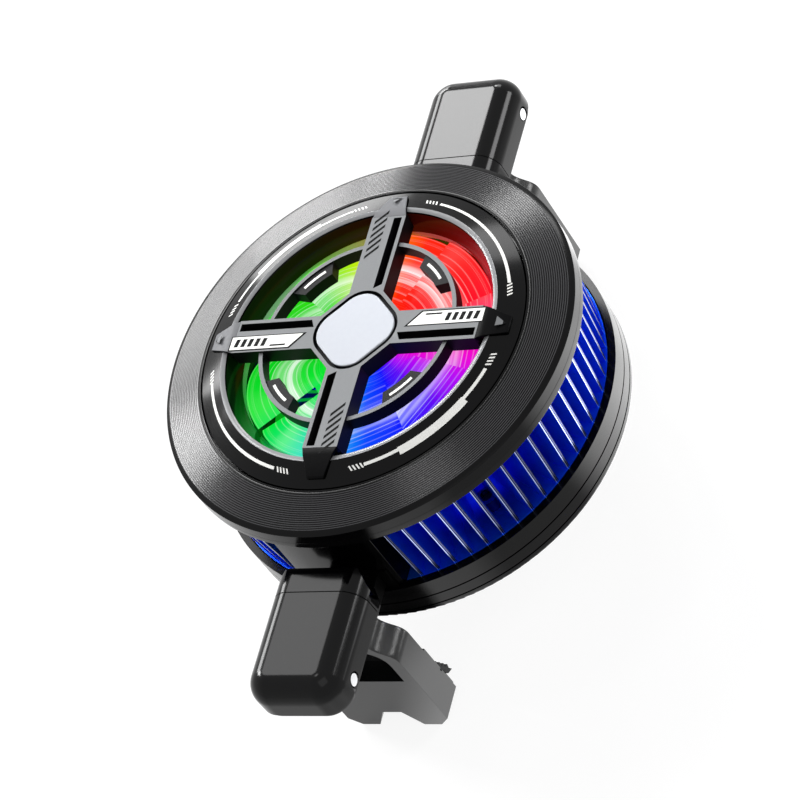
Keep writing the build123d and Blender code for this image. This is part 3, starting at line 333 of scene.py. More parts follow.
# %% [markdown]
# ## The hues of the lamps
#
# Coloured lamps light the wheel from its rim, each in its own hue, and they blend into each
# other round the ring. The hues are written once, with their angles, because the wheel and
# what lies behind it both take them.

# %% Hues round the ring
HUES = [
    (180, "#08c818"), (215, "#08e030"), (240, "#10e070"), (256, "#20d8c0"), (270, "#0890f0"),
    (285, "#0848f8"), (305, "#0c10f8"), (322, "#5c08f0"), (338, "#b008f0"), (352, "#e808d0"),
    (366, "#f80878"), (385, "#fc0828"), (410, "#fc1008"), (436, "#fc2408"), (450, "#f87008"),
    (462, "#f8d808"), (477, "#a8e808"), (497, "#30d810"), (540, "#08c818"),
]
hue_stops = [((angle - 180) / 360, linear(code)) for angle, code in HUES]
print("hues round the ring:", len(HUES))

# %% [markdown]
# ## The glowing fan wheel
#
# The wheel is frosted and spins, so the eye sees rings of light whose hue changes with the
# angle. The hue comes from a colour ramp over the angle. White rings lie over it: fine ones
# from a noise over the distance alone, and broad ones near the middle, where the light is
# strongest, from a noise that also changes a little with the angle.

# %% Emission of the wheel
tree, shader, colour, at = opened("wheel_clear")
hue = add_node(tree, "ValToRGB", None, {"Fac": at["turn"]}, hue_stops)
along = add_node(tree, "Math", TIMES, {0: at["reach"], 1: 1.7})
rings = add_node(
    tree,
    "TexNoise",
    {"noise_dimensions": "1D"},
    {"W": along, "Scale": 1.0, "Detail": 5.0, "Roughness": 0.8},
)
thin = add_node(
    tree, "ValToRGB", None, {"Fac": rings.outputs["Fac"]}, [(0.54, grey(0)), (0.64, grey(1))]
)
outwards = add_node(tree, "Math", TIMES, {0: at["reach"], 1: 0.9})
around = add_node(tree, "Math", TIMES, {0: at["turn"], 1: 4.0})
swirl = add_node(tree, "CombineXYZ", None, {"X": outwards, "Y": around})
clouds = add_node(
    tree, "TexNoise", {"noise_dimensions": "2D"}, {"Vector": swirl, "Scale": 1.0, "Detail": 1.0}
)
broad = add_node(
    tree, "ValToRGB", None, {"Fac": clouds.outputs["Fac"]}, [(0.45, grey(0)), (0.6, grey(1))]
)
print("fine rings about", round(1 / 1.7, 2), "mm apart at their widest")

# %% [markdown]
# ### How much white, and where
#
# Two ramps over the distance say how strong the broad and the fine rings are. Their places
# are shares of 20 mm. The white share stays below one, so that the hue is never lost.

# %% White rings over the hue
share_of_20 = add_node(tree, "Math", TIMES, {0: at["reach"], 1: 0.05})
BROAD_BY_REACH = [(0.45, 0.0), (0.51, 0.05), (0.56, 0.6), (0.64, 0.6), (0.7, 0.1), (0.74, 0.0)]
THIN_BY_REACH = [(0.4, 0.1), (0.52, 0.3), (0.62, 0.5), (0.72, 0.3), (0.8, 0.14)]
core = add_node(
    tree, "ValToRGB", None, {"Fac": share_of_20}, [(p, grey(v)) for p, v in BROAD_BY_REACH]
)
fine = add_node(
    tree, "ValToRGB", None, {"Fac": share_of_20}, [(p, grey(v)) for p, v in THIN_BY_REACH]
)
softer = add_node(tree, "Math", TIMES_PLUS, {0: broad, 1: 0.7, 2: 0.3})
broad_white = add_node(tree, "Math", TIMES, {0: core, 1: softer})
all_white = add_node(tree, "Math", TIMES_PLUS, {0: thin, 1: fine, 2: broad_white})
white = add_node(tree, "Math", SMALLER, {0: all_white, 1: 0.95})
lit = add_node(tree, "Mix", BLEND, {"Factor": white, 6: hue, 7: grey(1)})
tree.links.new(lit.outputs[2], shader.inputs["Emission Color"])
shader.inputs["Emission Strength"].default_value = 1.05
print("wheel's finish has", len(tree.nodes), "nodes")

# %% [markdown]
# ## Lamp light behind the wheel
#
# Inside the fan tube the same lamps light the spokes and the metal behind the wheel. A faint
# emission in the lamps' hues stands for that light, and it is kept to the space between the
# fan's spokes and the wheel, so that nothing glows between the outer fins.

# %% Light inside the tube
TUBE_R = 18.6
LAMP_LIGHT = (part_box("fan_base")[0][2] / MM - 0.01, 20.0)
for slot in ("sink_blue", "guide_plastic"):
    tree, shader, colour, at = opened(slot)
    in_tube = add_node(tree, "Math", UNDER, {0: at["reach"], 1: TUBE_R})
    in_layer = add_node(
        tree,
        "Math",
        {"operation": "COMPARE"},
        {0: at["height"], 1: sum(LAMP_LIGHT) / 2, 2: (LAMP_LIGHT[1] - LAMP_LIGHT[0]) / 2},
    )
    inside = add_node(tree, "Math", TIMES, {0: in_tube, 1: in_layer})
    hue = add_node(tree, "ValToRGB", None, {"Fac": at["turn"]}, hue_stops)
    glow = add_node(tree, "Mix", BLEND, {"Factor": inside, 6: grey(0), 7: hue})
    tree.links.new(glow.outputs[2], shader.inputs["Emission Color"])
    shader.inputs["Emission Strength"].default_value = 0.5
print("lamp light from", round(LAMP_LIGHT[0], 2), "to", LAMP_LIGHT[1], "mm")

# %% [markdown]
# ## Ridges of the front ring
#
# A lathe leaves fine concentric grooves, and the ridges between them carry a painted highlight:
# a lighter grey in their colour stands in for the glints that the ridges catch. The grooves are
# modelled further down, and the paint follows the same pitch. It is measured in millimetres
# from the ring's outer groove inwards.

# %% Ridges
GROOVE_OUT, GROOVE_IN, GROOVES = 29.25, 24.41, 17
groove_pitch = (GROOVE_OUT - GROOVE_IN) / GROOVES
RIDGE = [(0.0, 0.0), (0.1, 1.0), (0.34, 1.0), (0.46, 0.0), (1.0, 0.0)]
tree, shader, colour, at = opened("bezel_black")
inwards = add_node(
    tree,
    "Math",
    TIMES_PLUS,
    {0: at["reach"], 1: -1 / groove_pitch, 2: GROOVE_OUT / groove_pitch},
)
wave = add_node(tree, "Math", PART, {0: inwards})
over_inner = add_node(tree, "Math", OVER, {0: at["reach"], 1: GROOVE_IN})
under_outer = add_node(tree, "Math", UNDER, {0: at["reach"], 1: GROOVE_OUT})
on_cone = add_node(tree, "Math", TIMES, {0: over_inner, 1: under_outer})
profile = add_node(tree, "ValToRGB", None, {"Fac": wave}, [(p, grey(v)) for p, v in RIDGE])
ridge = add_node(tree, "Math", TIMES, {0: profile, 1: on_cone})
# Painted highlight: the ridges get a lighter grey that stands in for the glints of the turned grooves.
ridge_glint = add_node(tree, "Mix", BLEND, {"Factor": ridge, 6: linear("#030304"), 7: linear("#464648")})
tree.links.new(ridge_glint.outputs[2], shader.inputs["Base Color"])
print("groove pitch", round(groove_pitch, 3), "mm")

# %% [markdown]
# ## Painted tops of the grille
#
# The grille is moulded in black and only the tops of its cross are painted grey. The paint
# therefore goes where a face looks up and lies higher than the thin ring's tabs. The two end
# pieces on the upper left of the picture, on the side of the lights, get a painted reflection:
# their upward faces are made a lighter grey, for the light that their slopes reflect.

# %% Painted tops
PAINT_FROM = 24.9
LOOKS_UP = 0.6
tree, shader, painted, at = opened("grille_grey")
up_facing = add_node(tree, "Math", OVER, {0: at["up"], 1: LOOKS_UP})
high = add_node(tree, "Math", OVER, {0: at["height"], 1: PAINT_FROM})
top = add_node(tree, "Math", TIMES, {0: up_facing, 1: high})
coloured = add_node(tree, "Mix", BLEND, {"Factor": top, 6: linear("#101012"), 7: painted})
rougher = add_node(tree, "Math", TIMES_PLUS, {0: top, 1: 0.05, 2: 0.45})
tree.links.new(coloured.outputs[2], shader.inputs["Base Color"])
tree.links.new(rougher.outputs[0], shader.inputs["Roughness"])

tree, shader, plain, at = opened("grille_black")
across = add_node(
    tree, "VectorMath", {"operation": "DOT_PRODUCT"}, {0: at["flat"], 1: (1.0, -1.0, 0.0)}
)
# Painted reflection: the upward faces of the two end pieces on the side of the lights are made a lighter grey.
lit_upper_left = add_node(tree, "Math", UNDER, {0: across.outputs["Value"], 1: 0.0})
up_facing = add_node(tree, "Math", OVER, {0: at["up"], 1: LOOKS_UP})
top = add_node(tree, "Math", TIMES, {0: lit_upper_left, 1: up_facing})
coloured = add_node(tree, "Mix", BLEND, {"Factor": top, 6: plain, 7: linear("#707174")})
tree.links.new(coloured.outputs[2], shader.inputs["Base Color"])
print("painted from", PAINT_FROM, "mm up")

# %% [markdown]
# ## The inner ring's funnel and lip
#
# Inside its light lip the inner ring falls as a funnel to the fan tube. Its wall gets a painted
# reflection of the lamps' light in dark hues: red at the upper right, green at the left, navy at the bottom.

# %% Funnel and lip
FUNNEL_R, LIP_R = 19.55, 20.34
FUNNEL_REFLECTION = [
    (0, "#4a0a34"), (35, "#5e0a1a"), (70, "#54120a"), (100, "#3c1a08"), (130, "#262408"),
    (160, "#14260a"), (215, "#04220c"), (250, "#04141e"), (270, "#040e2c"), (310, "#120c3c"),
    (340, "#320a3c"), (360, "#4a0a34"),
]
funnel_reflection_stops = [(angle / 360, linear(code)) for angle, code in FUNNEL_REFLECTION]
tree, shader, plain, at = opened("trim_grey")
in_funnel = add_node(tree, "Math", UNDER, {0: at["reach"], 1: FUNNEL_R})
in_lip = add_node(tree, "Math", UNDER, {0: at["reach"], 1: LIP_R})
up_facing = add_node(tree, "Math", OVER, {0: at["up"], 1: 0.8})
lip = add_node(tree, "Math", TIMES, {0: in_lip, 1: up_facing})
half_more = add_node(tree, "Math", PLUS, {0: at["turn"], 1: 0.5})
from_right = add_node(tree, "Math", PART, {0: half_more})
# Painted reflection: a dark shade of the lamps' hues, chosen by the angle round the axis.
shade = add_node(tree, "ValToRGB", None, {"Fac": from_right}, funnel_reflection_stops)
wall = add_node(tree, "Mix", BLEND, {"Factor": in_funnel, 6: plain, 7: shade})
ring = add_node(tree, "Mix", BLEND, {"Factor": lip, 6: wall.outputs[2], 7: linear("#8d8e90")})
tree.links.new(ring.outputs[2], shader.inputs["Base Color"])
print("funnel hues:", len(FUNNEL_REFLECTION))

# %% [markdown]
# ## Painted glints on the fins' edges
#
# Each fin's outer edge is half a millimetre wide and carries painted light: a dark blue band with
# one strong and one weak bright line, standing in for the shade and the glints of the edge's
# corners, measured across the fin from its middle.

# %% Fin edges
FINS = 72
EDGE_GLINTS = [(0.27, 0.0), (0.31, 1.0), (0.36, 1.0), (0.41, 0.0), (0.57, 0.0), (0.6, 0.5), (0.64, 0.0)]
tree, shader, blue, at = opened("sink_blue")
fins_on = add_node(tree, "Math", TIMES, {0: at["turn"], 1: FINS})
fin_turn = add_node(tree, "Math", PART, {0: fins_on})
from_middle = add_node(tree, "Math", MINUS, {0: fin_turn, 1: 0.5})
fin_space = add_node(tree, "Math", TIMES, {0: at["reach"], 1: 2 * math.pi / FINS})
beside = add_node(tree, "Math", TIMES, {0: from_middle, 1: fin_space})
across = add_node(tree, "Math", PLUS, {0: beside, 1: 0.5})
glint = add_node(tree, "ValToRGB", None, {"Fac": across}, [(p, grey(v)) for p, v in EDGE_GLINTS])
on_edge = add_node(tree, "Math", OVER, {0: at["out"], 1: 0.7})
# Painted highlight and shade: each fin's outer edge gets a dark blue band and bright glint lines in its colour.
edge_glint = add_node(tree, "Math", TIMES, {0: glint, 1: on_edge})
dark = add_node(tree, "Mix", BLEND, {"Factor": on_edge, 6: blue, 7: linear("#020a4a")})
bright = add_node(tree, "Mix", BLEND, {"Factor": edge_glint, 6: dark.outputs[2], 7: linear("#c4d4ff")})
tree.links.new(bright.outputs[2], shader.inputs["Base Color"])
print("fins:", FINS)

# %% [markdown]
# ## Finishing a solid
#
# A solid from the drawing has knife-sharp edges, and real ones never are. Each piece that
# shows is therefore a copy of its solid. Loose triangles are merged and flat faces joined,
# the edges get a small rounding, and the normals are weighted by the faces' size, so that a
# flat top reflects evenly and only its rounded edge catches the light.

# %% Where a piece belongs
def body_of(node):
    """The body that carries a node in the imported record."""
    for body, members in frame["record"]["behaviour"]["bodies"].items():
        if node in members:
            return body
    return "root"


slot_of = {row["node"]: row["material_slot"] for row in frame["record"]["subparts"]}


def settle(piece, body, slot):
    """Gives a finished piece the finish of its slot and its body."""
    piece.data.materials.clear()
    piece.data.materials.append(finishes[slot])
    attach(piece, body)
    return piece


print("slots:", len(set(slot_of.values())))

# %% Copy and soften
WELD = 0.002
FLAT_TO, SHARP_FROM, SMOOTH_TO = 1.5, 40.0, 35.0


def soften(node, edge):
    """A copy of a node with its edges rounded by edge millimetres, or kept sharp by none."""
    piece = bpy.data.objects.new(node + "_finished", frame["nodes"][node].data.copy())
    bpy.context.scene.collection.objects.link(piece)
    bpy.context.view_layer.objects.active = piece
    piece.select_set(True)
    bpy.ops.object.mode_set(mode="EDIT")
    bpy.ops.mesh.select_all(action="SELECT")
    bpy.ops.mesh.customdata_custom_splitnormals_clear()
    bpy.ops.mesh.remove_doubles(threshold=WELD * MM)
    bpy.ops.mesh.dissolve_limited(angle_limit=math.radians(FLAT_TO))
    bpy.ops.object.mode_set(mode="OBJECT")
    if edge:
        bevel = piece.modifiers.new("edges", "BEVEL")
        bevel.width = edge * MM
        bevel.segments = 2
        bevel.limit_method = "ANGLE"
        bevel.angle_limit = math.radians(SHARP_FROM)
        bpy.ops.object.modifier_apply(modifier="edges")
    bpy.ops.object.shade_smooth_by_angle(angle=math.radians(SMOOTH_TO))
    even = piece.modifiers.new("flat_faces", "WEIGHTED_NORMAL")
    even.keep_sharp = True
    even.weight = 100
    bpy.ops.object.modifier_apply(modifier="flat_faces")
    piece.select_set(False)
    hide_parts(node)
    print(node, len(piece.data.polygons), "faces")
    return settle(piece, body_of(node), slot_of[node])


# %% [markdown]
# ## The pieces that show
#
# The table gives each piece's rounding in millimetres. Moulded edges are rounded most, the
# fins and the badge least. The rear rim keeps the roundings of its solid.

# %% Soften the pieces that show
COOLER_EDGES = {
    "grille": 0.12, "grille_ends": 0.1, "badge_plate": 0.05, "fan_housing": 0.1,
    "rear_housing": 0.0, "heat_sink": 0.05, "usb_socket": 0.05,
}
CLIP_EDGES = {
    "cap": 0.08, "collar": 0.08, "cap_plate": 0.08, "cap_pin": 0.08, "jaw": 0.15,
    "jaw_grip": 0.06, "arm": 0.08,
}
for node, edge in COOLER_EDGES.items():
    soften(node, edge)
for side in ("upper_", "lower_"):
    for name, edge in CLIP_EDGES.items():
        soften(side + name, edge)

# %% [markdown]
# ## Return springs
#
# Each clip is pushed back in by a spring that stands against a fixed post. Its other end
# moves out with the arm, so the real spring shortens along Y when the clip is pulled out. Here
# each spring is only a finished copy of its solid with a mesh of its own; its box is read but
# not used, and nothing makes it shorten. How far the clip travels and where the post stands
# are in the record.

# %% Springs
for joint in frame["joints"]:
    for row in joint.get("deforming_nodes", []):
        low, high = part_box(row["node"])
        spring = soften(row["node"], 0.0)
        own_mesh(spring)

# %% [markdown]
# ## Turned rings
#
# The front ring is a wide, shallow cone with fine grooves, as a lathe leaves them. It could
# be cut from a solid, but a groove so fine is better turned: a single point is drawn along
# the section, and the section is spun about the fan's axis, as on the lathe itself.

# %% A lathe
SPIN_STEPS = 256
HAIR = 0.001


def turned(name, section):
    """A closed section of (radius, height) points in millimetres, spun about Z."""
    bpy.ops.object.select_all(action="DESELECT")
    bpy.ops.mesh.primitive_plane_add(size=MM, location=(0, 0, 0))
    piece = bpy.context.active_object
    piece.name = piece.data.name = name
    bpy.ops.object.mode_set(mode="EDIT")
    bpy.ops.mesh.select_all(action="SELECT")
    bpy.ops.mesh.merge(type="CENTER")
    bpy.ops.mesh.select_all(action="SELECT")
    bpy.ops.transform.translate(value=(section[0][0] * MM, 0, section[0][1] * MM))
    for before, point in zip(section, section[1:] + section[:1]):
        step = ((point[0] - before[0]) * MM, 0, (point[1] - before[1]) * MM)
        bpy.ops.mesh.extrude_region_move(TRANSFORM_OT_translate={"value": step})
    bpy.ops.mesh.select_all(action="SELECT")
    bpy.ops.mesh.remove_doubles(threshold=HAIR * MM)
    bpy.ops.mesh.spin(steps=SPIN_STEPS, angle=2 * math.pi, center=(0, 0, 0), axis=(0, 0, 1))
    bpy.ops.mesh.select_all(action="SELECT")
    bpy.ops.mesh.remove_doubles(threshold=HAIR * MM)
    bpy.ops.mesh.normals_make_consistent(inside=False)
    bpy.ops.object.mode_set(mode="OBJECT")
    bpy.ops.object.shade_smooth_by_angle(angle=math.radians(25))
    piece.select_set(False)
    print(name, len(piece.data.polygons), "faces")
    return piece


# %% [markdown]
# ### The front ring
#
# The section follows the solid: a narrow upright edge, a small chamfer, the cone with its
# grooves, and the step under which the inner ring sits. A groove is a hundredth of a
# millimetre deep, which is enough to break a reflection.

# %% The front ring
CONE_OUT, CONE_IN = (29.3, 22.36), (23.9, 23.6)
GROOVE_DEPTH = 0.008
rise = (CONE_IN[1] - CONE_OUT[1]) / (CONE_OUT[0] - CONE_IN[0])


def cone_z(radius):
    """The front cone's height at a radius."""
    return CONE_OUT[1] + (CONE_OUT[0] - radius) * rise


bezel_section = [(30.0, 20.4), (30.0, 21.95), (29.95, 22.02), (29.36, 22.34)]
for groove in range(GROOVES):
    foot = GROOVE_OUT - groove * groove_pitch
    crest, crest_end = foot - 0.45 * groove_pitch, foot - 0.8 * groove_pitch
    bezel_section += [
        (foot, cone_z(foot) - GROOVE_DEPTH), (crest, cone_z(crest)), (crest_end, cone_z(crest_end)),
    ]
bezel_section += [
    (24.3, cone_z(24.3)), (24.18, cone_z(24.18) - 0.05), (24.08, cone_z(24.08)),
    (23.95, 23.58), (23.9, 23.5), (23.9, 22.0), (22.6, 22.0), (22.6, 21.3), (25.0, 21.3),
    (25.0, 22.5), (28.9, 21.26), (28.9, 20.4),
]
bezel = turned("bezel_ring_turned", bezel_section)
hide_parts("bezel_ring")
settle(bezel, "cooler", "bezel_black")

# %% [markdown]
# ### The inner ring
#
# It rises as a steeper cone to a narrow flat lip and falls inside as a funnel. A hairline
# gap to the front ring shows that it is a piece of its own.

# %% The inner ring
TRIM_OUT, TRIM_TOP = (23.7, 23.6), (20.32, 24.9)
trim_section = [
    (23.7, 22.0), (23.7, 23.55), (23.65, 23.62), (20.38, 24.88), TRIM_TOP,
    (20.26, 24.9), (19.7, 24.81), (19.65, 24.78), (18.42, 22.05), (18.42, 22.0),
    (19.6, 22.0), (20.32, 23.8), (22.6, 22.5), (22.6, 22.0),
]
trim = turned("trim_ring_turned", trim_section)
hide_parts("trim_ring")
settle(trim, "cooler", "trim_grey")

# %% [markdown]
# ## Printed marks
#
# White arcs and ticks are printed on the inner ring, and the cross carries two white plates,
# hatching and small arrows. A picture could be laid over the surface, but ink that is a thin
# film with a real thickness stays sharp from any distance. Its outline is drawn point by
# point, filled, and raised.

# %% Drawing a mark
INK = 0.02


def drawn(points, raised=INK):
    """A film through (x, y, z) points in millimetres, raised by its thickness."""
    bpy.ops.object.select_all(action="DESELECT")
    bpy.ops.mesh.primitive_plane_add(size=MM, location=(0, 0, 0))
    film = bpy.context.active_object
    bpy.ops.object.mode_set(mode="EDIT")
    bpy.ops.mesh.select_all(action="SELECT")
    bpy.ops.mesh.merge(type="CENTER")
    bpy.ops.mesh.select_all(action="SELECT")
    bpy.ops.transform.translate(value=Vector(points[0]) * MM)
    for before, point in zip(points, points[1:]):
        step = (Vector(point) - Vector(before)) * MM
        bpy.ops.mesh.extrude_region_move(TRANSFORM_OT_translate={"value": step})
    bpy.ops.mesh.select_all(action="SELECT")
    bpy.ops.mesh.edge_face_add()
    bpy.ops.mesh.extrude_region_move(TRANSFORM_OT_translate={"value": (0, 0, raised * MM)})
    bpy.ops.mesh.select_all(action="SELECT")
    bpy.ops.mesh.normals_make_consistent(inside=False)
    bpy.ops.object.mode_set(mode="OBJECT")
    return film


def one_piece(name, films, slot):
    """Films joined to one piece that rides on the cooler."""
    bpy.ops.object.select_all(action="DESELECT")
    for film in films:
        film.select_set(True)
    bpy.context.view_layer.objects.active = films[0]
    bpy.ops.object.join()
    piece = bpy.context.active_object
    piece.name = piece.data.name = name
    piece.select_set(False)
    print(name, len(films), "marks")
    return settle(piece, "cooler", slot)


# %% [markdown]
# ### Marks on the inner ring
#
# Between the cross's arms lies a thin white arc with four slanted ticks at each end, and two
# of the arcs carry a thicker block. A band is cut into short stretches, because a filled
# face has to be nearly flat to lie on a cone.

# %% Marks on the inner ring
DIAGONALS = (45, 135, 225, 315)
trim_fall = (TRIM_TOP[1] - TRIM_OUT[1]) / (TRIM_OUT[0] - TRIM_TOP[0])


def on_trim(radius, angle):
    """A point just above the inner ring's cone."""
    a = math.radians(angle)
    height = TRIM_OUT[1] + (TRIM_OUT[0] - radius) * trim_fall
    return (radius * math.cos(a), radius * math.sin(a), height + INK / 2)


def arc(inner, outer, start, end, slant=0.0, step=1.5):
    """The outline of a band on the cone, its outer side turned by slant degrees."""
    count = max(1, round(abs(end - start) / step))
    along = [start + (end - start) * i / count for i in range(count + 1)]
    there = [on_trim(outer, a + slant) for a in along]
    return there + [on_trim(inner, a) for a in reversed(along)]


prints = []
for middle in DIAGONALS:
    for start in range(-27, 27, 6):
        prints.append(drawn(arc(21.6, 22.0, middle + start, middle + start + 6)))
    for side in (-1, 1):
        for tick in range(4):
            at_turn = middle + side * (28.3 + 1.4 * tick)
            prints.append(drawn(arc(21.5, 22.15, at_turn - 0.32, at_turn + 0.32, 0.9)))
for middle in (135, 315):
    for start in (-14, -7, 0, 7):
        block = arc(21.5, 22.5, middle + start, middle + start + 7)
        prints.append(drawn(block, 1.5 * INK))
one_piece("trim_prints", prints, "lamp_white")

# %% [markdown]
# ### Marks on the cross
#
# The two level arms carry a white plate with a black outline, and plain bars stand on it.
# The other two arms are hatched. Points are given along an arm and across it, and turned to
# the arm's angle. Each layer of ink lies one film higher than the one below.

# %% Marks on the cross
TOP = 25.4


def on_arm(angle, points, height=TOP):
    """Points (out along an arm, across to its left) of the arm at that angle."""
    c, s = math.cos(math.radians(angle)), math.sin(math.radians(angle))
    return [(u * c - v * s, u * s + v * c, height) for u, v in points]


UNDER_PLATE = [(7.4, -0.05), (19.1, -0.05), (19.1, 2.35), (9.5, 2.35)]
PLATE = [(7.9, 0.1), (18.9, 0.1), (18.9, 2.15), (9.7, 2.15)]
DASH = [(10.2, 1.6), (12.6, 1.6), (12.7, 1.85), (10.3, 1.85)]
whites, blacks = [], []
for angle in (0, 180):
    blacks.append(drawn(on_arm(angle, UNDER_PLATE)))
    whites.append(drawn(on_arm(angle, PLATE, TOP + INK)))
    blacks.append(drawn(on_arm(angle, DASH, TOP + 2 * INK)))
    for bar in range(5):
        u = 13.3 + 1.05 * bar
        stroke = [(u, 0.5), (u + 0.6, 0.5), (u + 0.85, 1.75), (u + 0.25, 1.75)]
        blacks.append(drawn(on_arm(angle, stroke, TOP + 2 * INK)))
for angle in (90, 270):
    for bar in range(6):
        u = 11.6 + 1.15 * bar
        stroke = [(u, 2.0), (u + 1.7, 0.2), (u + 2.2, 0.2), (u + 0.5, 2.0)]
        blacks.append(drawn(on_arm(angle, stroke)))

# %% [markdown]
# ### Lines on the tabs
#
# Each of the four tabs inside the thin ring has a short light line along its middle, a
# little below the cross.

# %% Lines on the tabs
TAB_TOP = 24.8
tab_lines = []
for middle in DIAGONALS:
    along = [math.radians(middle + step) for step in (-8, -4, 0, 4, 8)]
    outline = [(13.25 * math.cos(a), 13.25 * math.sin(a), TAB_TOP) for a in along]
    outline += [(12.85 * math.cos(a), 12.85 * math.sin(a), TAB_TOP) for a in reversed(along)]
    tab_lines.append(drawn(outline))
one_piece("tab_lines", tab_lines, "lamp_white")
one_piece("grille_plates", whites, "lamp_white")
one_piece("grille_marks", blacks, "guide_plastic")

# %% [markdown]
# ### Arrows on the end pieces
#
# Three of the faceted end pieces carry a small arrow. It lies on a slope, so the height of
# its points falls with their distance from the axis.

# %% Arrows on the end pieces
SLOPE_FROM, SLOPE = 20.8, 0.85 / 1.5


def on_end(angle, points):
    """Points on the slope of the end piece at that angle."""
    c, s = math.cos(math.radians(angle)), math.sin(math.radians(angle))
    raised = [(u, v, TOP + INK - max(0.0, u - SLOPE_FROM) * SLOPE) for u, v in points]
    return [(u * c - v * s, u * s + v * c, z) for u, v, z in raised]


out_arrow = [(20.95, 0.75), (20.95, -0.75), (22.15, 0.0)]
in_arrow = [(22.1, 0.7), (20.95, 0.0), (22.1, -0.7)]
arrows = [drawn(on_end(0, out_arrow)), drawn(on_end(90, in_arrow)), drawn(on_end(180, out_arrow))]
one_piece("end_arrows", arrows, "grille_grey")

# %% [markdown]
# ## Finishes on the solids
#
# The pieces inside keep the shape of their solid, because it is already right, and take the
# finish of their slot.

# %% Finishes on the solids
for node, thing in frame["nodes"].items():
    thing.data.materials.clear()
    thing.data.materials.append(finishes[slot_of[node]])
    for polygon in thing.data.polygons:
        polygon.material_index = 0
print("solids with a finish:", len(frame["nodes"]))

# %% [markdown]
# ## Floor and background
#
# The product stands on white. White could come from strong light, but that would wash out
# the object. Here the camera and the reflections are shown a white floor and a white room,
# while the light that falls on the object stays plain. The floor keeps the soft shadow.

# %% What the camera and reflections see
def seen_directly(tree, ray):
    """One for what the camera, a reflection or a clear piece shows, and none for light."""
    shown = add_node(
        tree, "Math", LARGER, {0: ray.outputs["Is Camera Ray"], 1: ray.outputs["Is Glossy Ray"]}
    )
    return add_node(tree, "Math", LARGER, {0: shown, 1: ray.outputs["Is Transmission Ray"]})


print("shown white to camera, reflections and clear pieces")

# %% Floor
FLOOR_SIZE, FLOOR_GAP = 12.0, 0.05
floor_z = cad_box[0][2] - FLOOR_GAP * MM
bpy.ops.mesh.primitive_plane_add(size=FLOOR_SIZE, location=(0, 0, floor_z))
floor = bpy.context.active_object
floor.name = "floor"
floor_material = bpy.data.materials.new("white_floor")
floor_material.use_nodes = True
tree = floor_material.node_tree
tree.nodes.clear()
ray = add_node(tree, "LightPath")
share = add_node(tree, "Math", TIMES, {0: seen_directly(tree, ray), 1: 0.8})
paper = add_node(tree, "BsdfDiffuse", None, {"Color": grey(0.85)})
print("floor at", round(floor_z / MM, 2), "mm")

# %% [markdown]
# ### A white card on the floor
#
# A photographer lays white cards beside a black object, so that its upright walls show a
# bright streak. This card is a brighter stretch of the floor round the object, strong on the
# left and right of the rim, and only reflections see it.

# %% The card
CARD = [
    (0.24, 0.0), (0.27, 0.22), (0.32, 0.22), (0.35, 0.0), (0.45, 0.0), (0.49, 0.8),
    (0.53, 1.0), (0.56, 0.9), (0.6, 0.45), (0.66, 0.15), (0.7, 0.25), (0.73, 0.2), (0.76, 0.0),
]
at = places(tree)
card = add_node(tree, "ValToRGB", None, {"Fac": at["turn"]}, [(p, grey(v)) for p, v in CARD])
decimetres = add_node(tree, "Math", TIMES, {0: at["reach"], 1: 0.01})
near = add_node(tree, "ValToRGB", None, {"Fac": decimetres}, [(0.6, grey(1)), (0.9, grey(0))])
near_card = add_node(tree, "Math", TIMES, {0: card, 1: near})
reflected = add_node(tree, "Math", TIMES, {0: near_card, 1: ray.outputs["Is Glossy Ray"]})
shining = add_node(tree, "Math", TIMES_PLUS, {0: reflected, 1: 7.0, 2: 1.12})
shine = add_node(tree, "Emission", None, {"Color": (1, 1, 1, 1), "Strength": shining})
both = add_node(tree, "MixShader", None, {0: share, 1: paper, 2: shine})
add_node(tree, "OutputMaterial", None, {"Surface": both})
floor.data.materials.append(floor_material)
floor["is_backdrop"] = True
print("stops of the card:", len(CARD))

# %% World
world = bpy.data.worlds.new("studio")
bpy.context.scene.world = world
world.use_nodes = True
tree = world.node_tree
tree.nodes.clear()
shown = seen_directly(tree, add_node(tree, "LightPath"))
strength = add_node(tree, "MapRange", None, {"Value": shown, "To Min": 0.25, "To Max": 1.0})
sky = add_node(
    tree, "Background", None, {"Color": (1, 1, 1, 1), "Strength": strength.outputs["Result"]}
)
add_node(tree, "OutputWorld", None, {"Surface": sky})
print("world:", world.name)

# %% [markdown]
# ## Light panels
#
# Black gloss shows the lamps themselves, so the panels' places decide how the rings, covers
# and walls look. Each one stands two metres away, in the direction that its surface reflects
# towards the camera, and is small enough to give that surface its own grey.

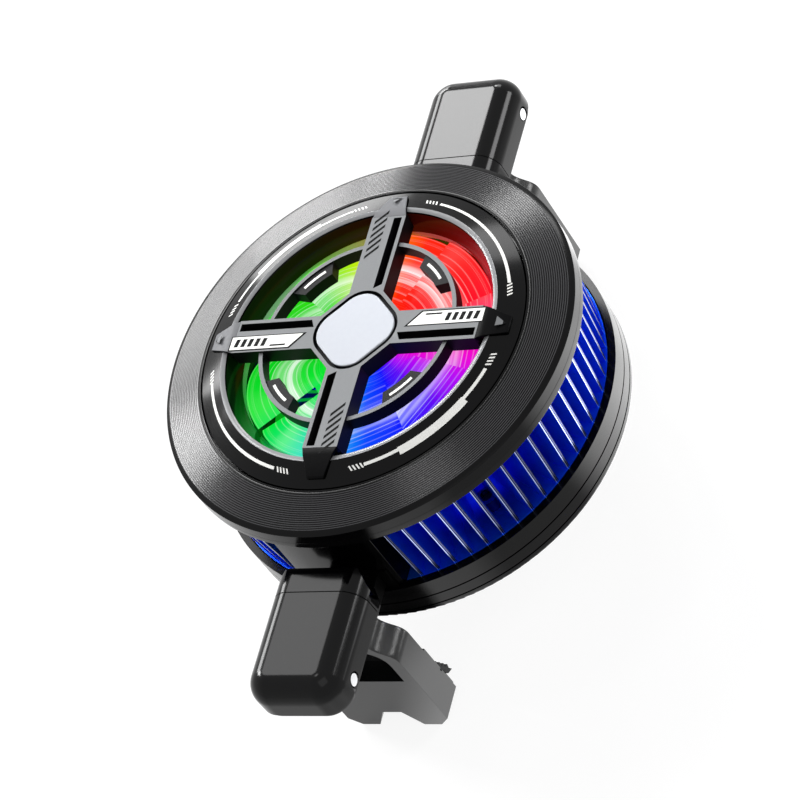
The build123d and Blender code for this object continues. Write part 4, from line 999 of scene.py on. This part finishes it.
# %% Light panels
PANEL_DISTANCE = 2.0
PANELS = {
    # name: (azimuth, elevation, width, height, radiance)
    "panel_streak": (124, 18, 0.14, 0.14, 45.0),
    "panel_far_left": (132, 17, 0.36, 0.30, 24.0),
    "panel_left": (148, 22, 0.70, 0.50, 15.0),
    "panel_near_left": (159, 33, 0.34, 0.44, 36.0),
    "panel_wedge": (109, 35, 0.22, 0.22, 30.0),
    "panel_low_wedge": (146, 71, 0.24, 0.24, 9.0),
    "panel_cover": (126.5, 41.5, 0.34, 0.34, 26.0),
    "panel_low_cover": (143, 48, 0.42, 0.42, 6.0),
    "panel_trim": (129, 4.5, 0.75, 0.28, 7.0),
    "panel_ridge": (97, 33, 0.4, 0.4, 9.0),
    "panel_right": (38, 24, 0.55, 0.55, 13.0),
}
PANELS_NEAR = {"panel_front": (-45, 60, 0.5, 0.5, 1.0)}
NEAR_DISTANCE = 0.9


def panel(name, azimuth, elevation, width, height, radiance, distance):
    """A soft panel in a direction from the fan, of that size in metres and brightness."""
    a, e = math.radians(azimuth), math.radians(elevation)
    towards = Vector((math.cos(e) * math.cos(a), math.cos(e) * math.sin(a), math.sin(e)))
    lamp_data = bpy.data.lights.new(name, "AREA")
    lamp_data.shape = "RECTANGLE"
    lamp_data.size = width
    lamp_data.size_y = height
    lamp_data.energy = radiance * math.pi * width * height
    lamp = bpy.data.objects.new(name, lamp_data)
    bpy.context.scene.collection.objects.link(lamp)
    lamp.location = Vector((0, 0, 0.015)) + towards * distance
    lamp.rotation_euler = towards.to_track_quat("Z", "Y").to_euler()


for name, numbers in PANELS.items():
    panel(name, *numbers, PANEL_DISTANCE)
for name, numbers in PANELS_NEAR.items():
    panel(name, *numbers, NEAR_DISTANCE)
print("panels:", len(PANELS) + len(PANELS_NEAR))

# %% [markdown]
# ## Sizes and the end
#
# Both boxes, of the solid model and of the finished piece, are printed in millimetres. The
# finished piece must be as large as the solid model. Ink on the cross is all that stands above
# the solid.

# %% Print the sizes
look_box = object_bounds()
boxes = {"cad": [list(corner) for corner in cad_box], "look": [list(c) for c in look_box]}
for name, box in boxes.items():
    print(name, [[round(v / MM, 2) for v in corner] for corner in box])
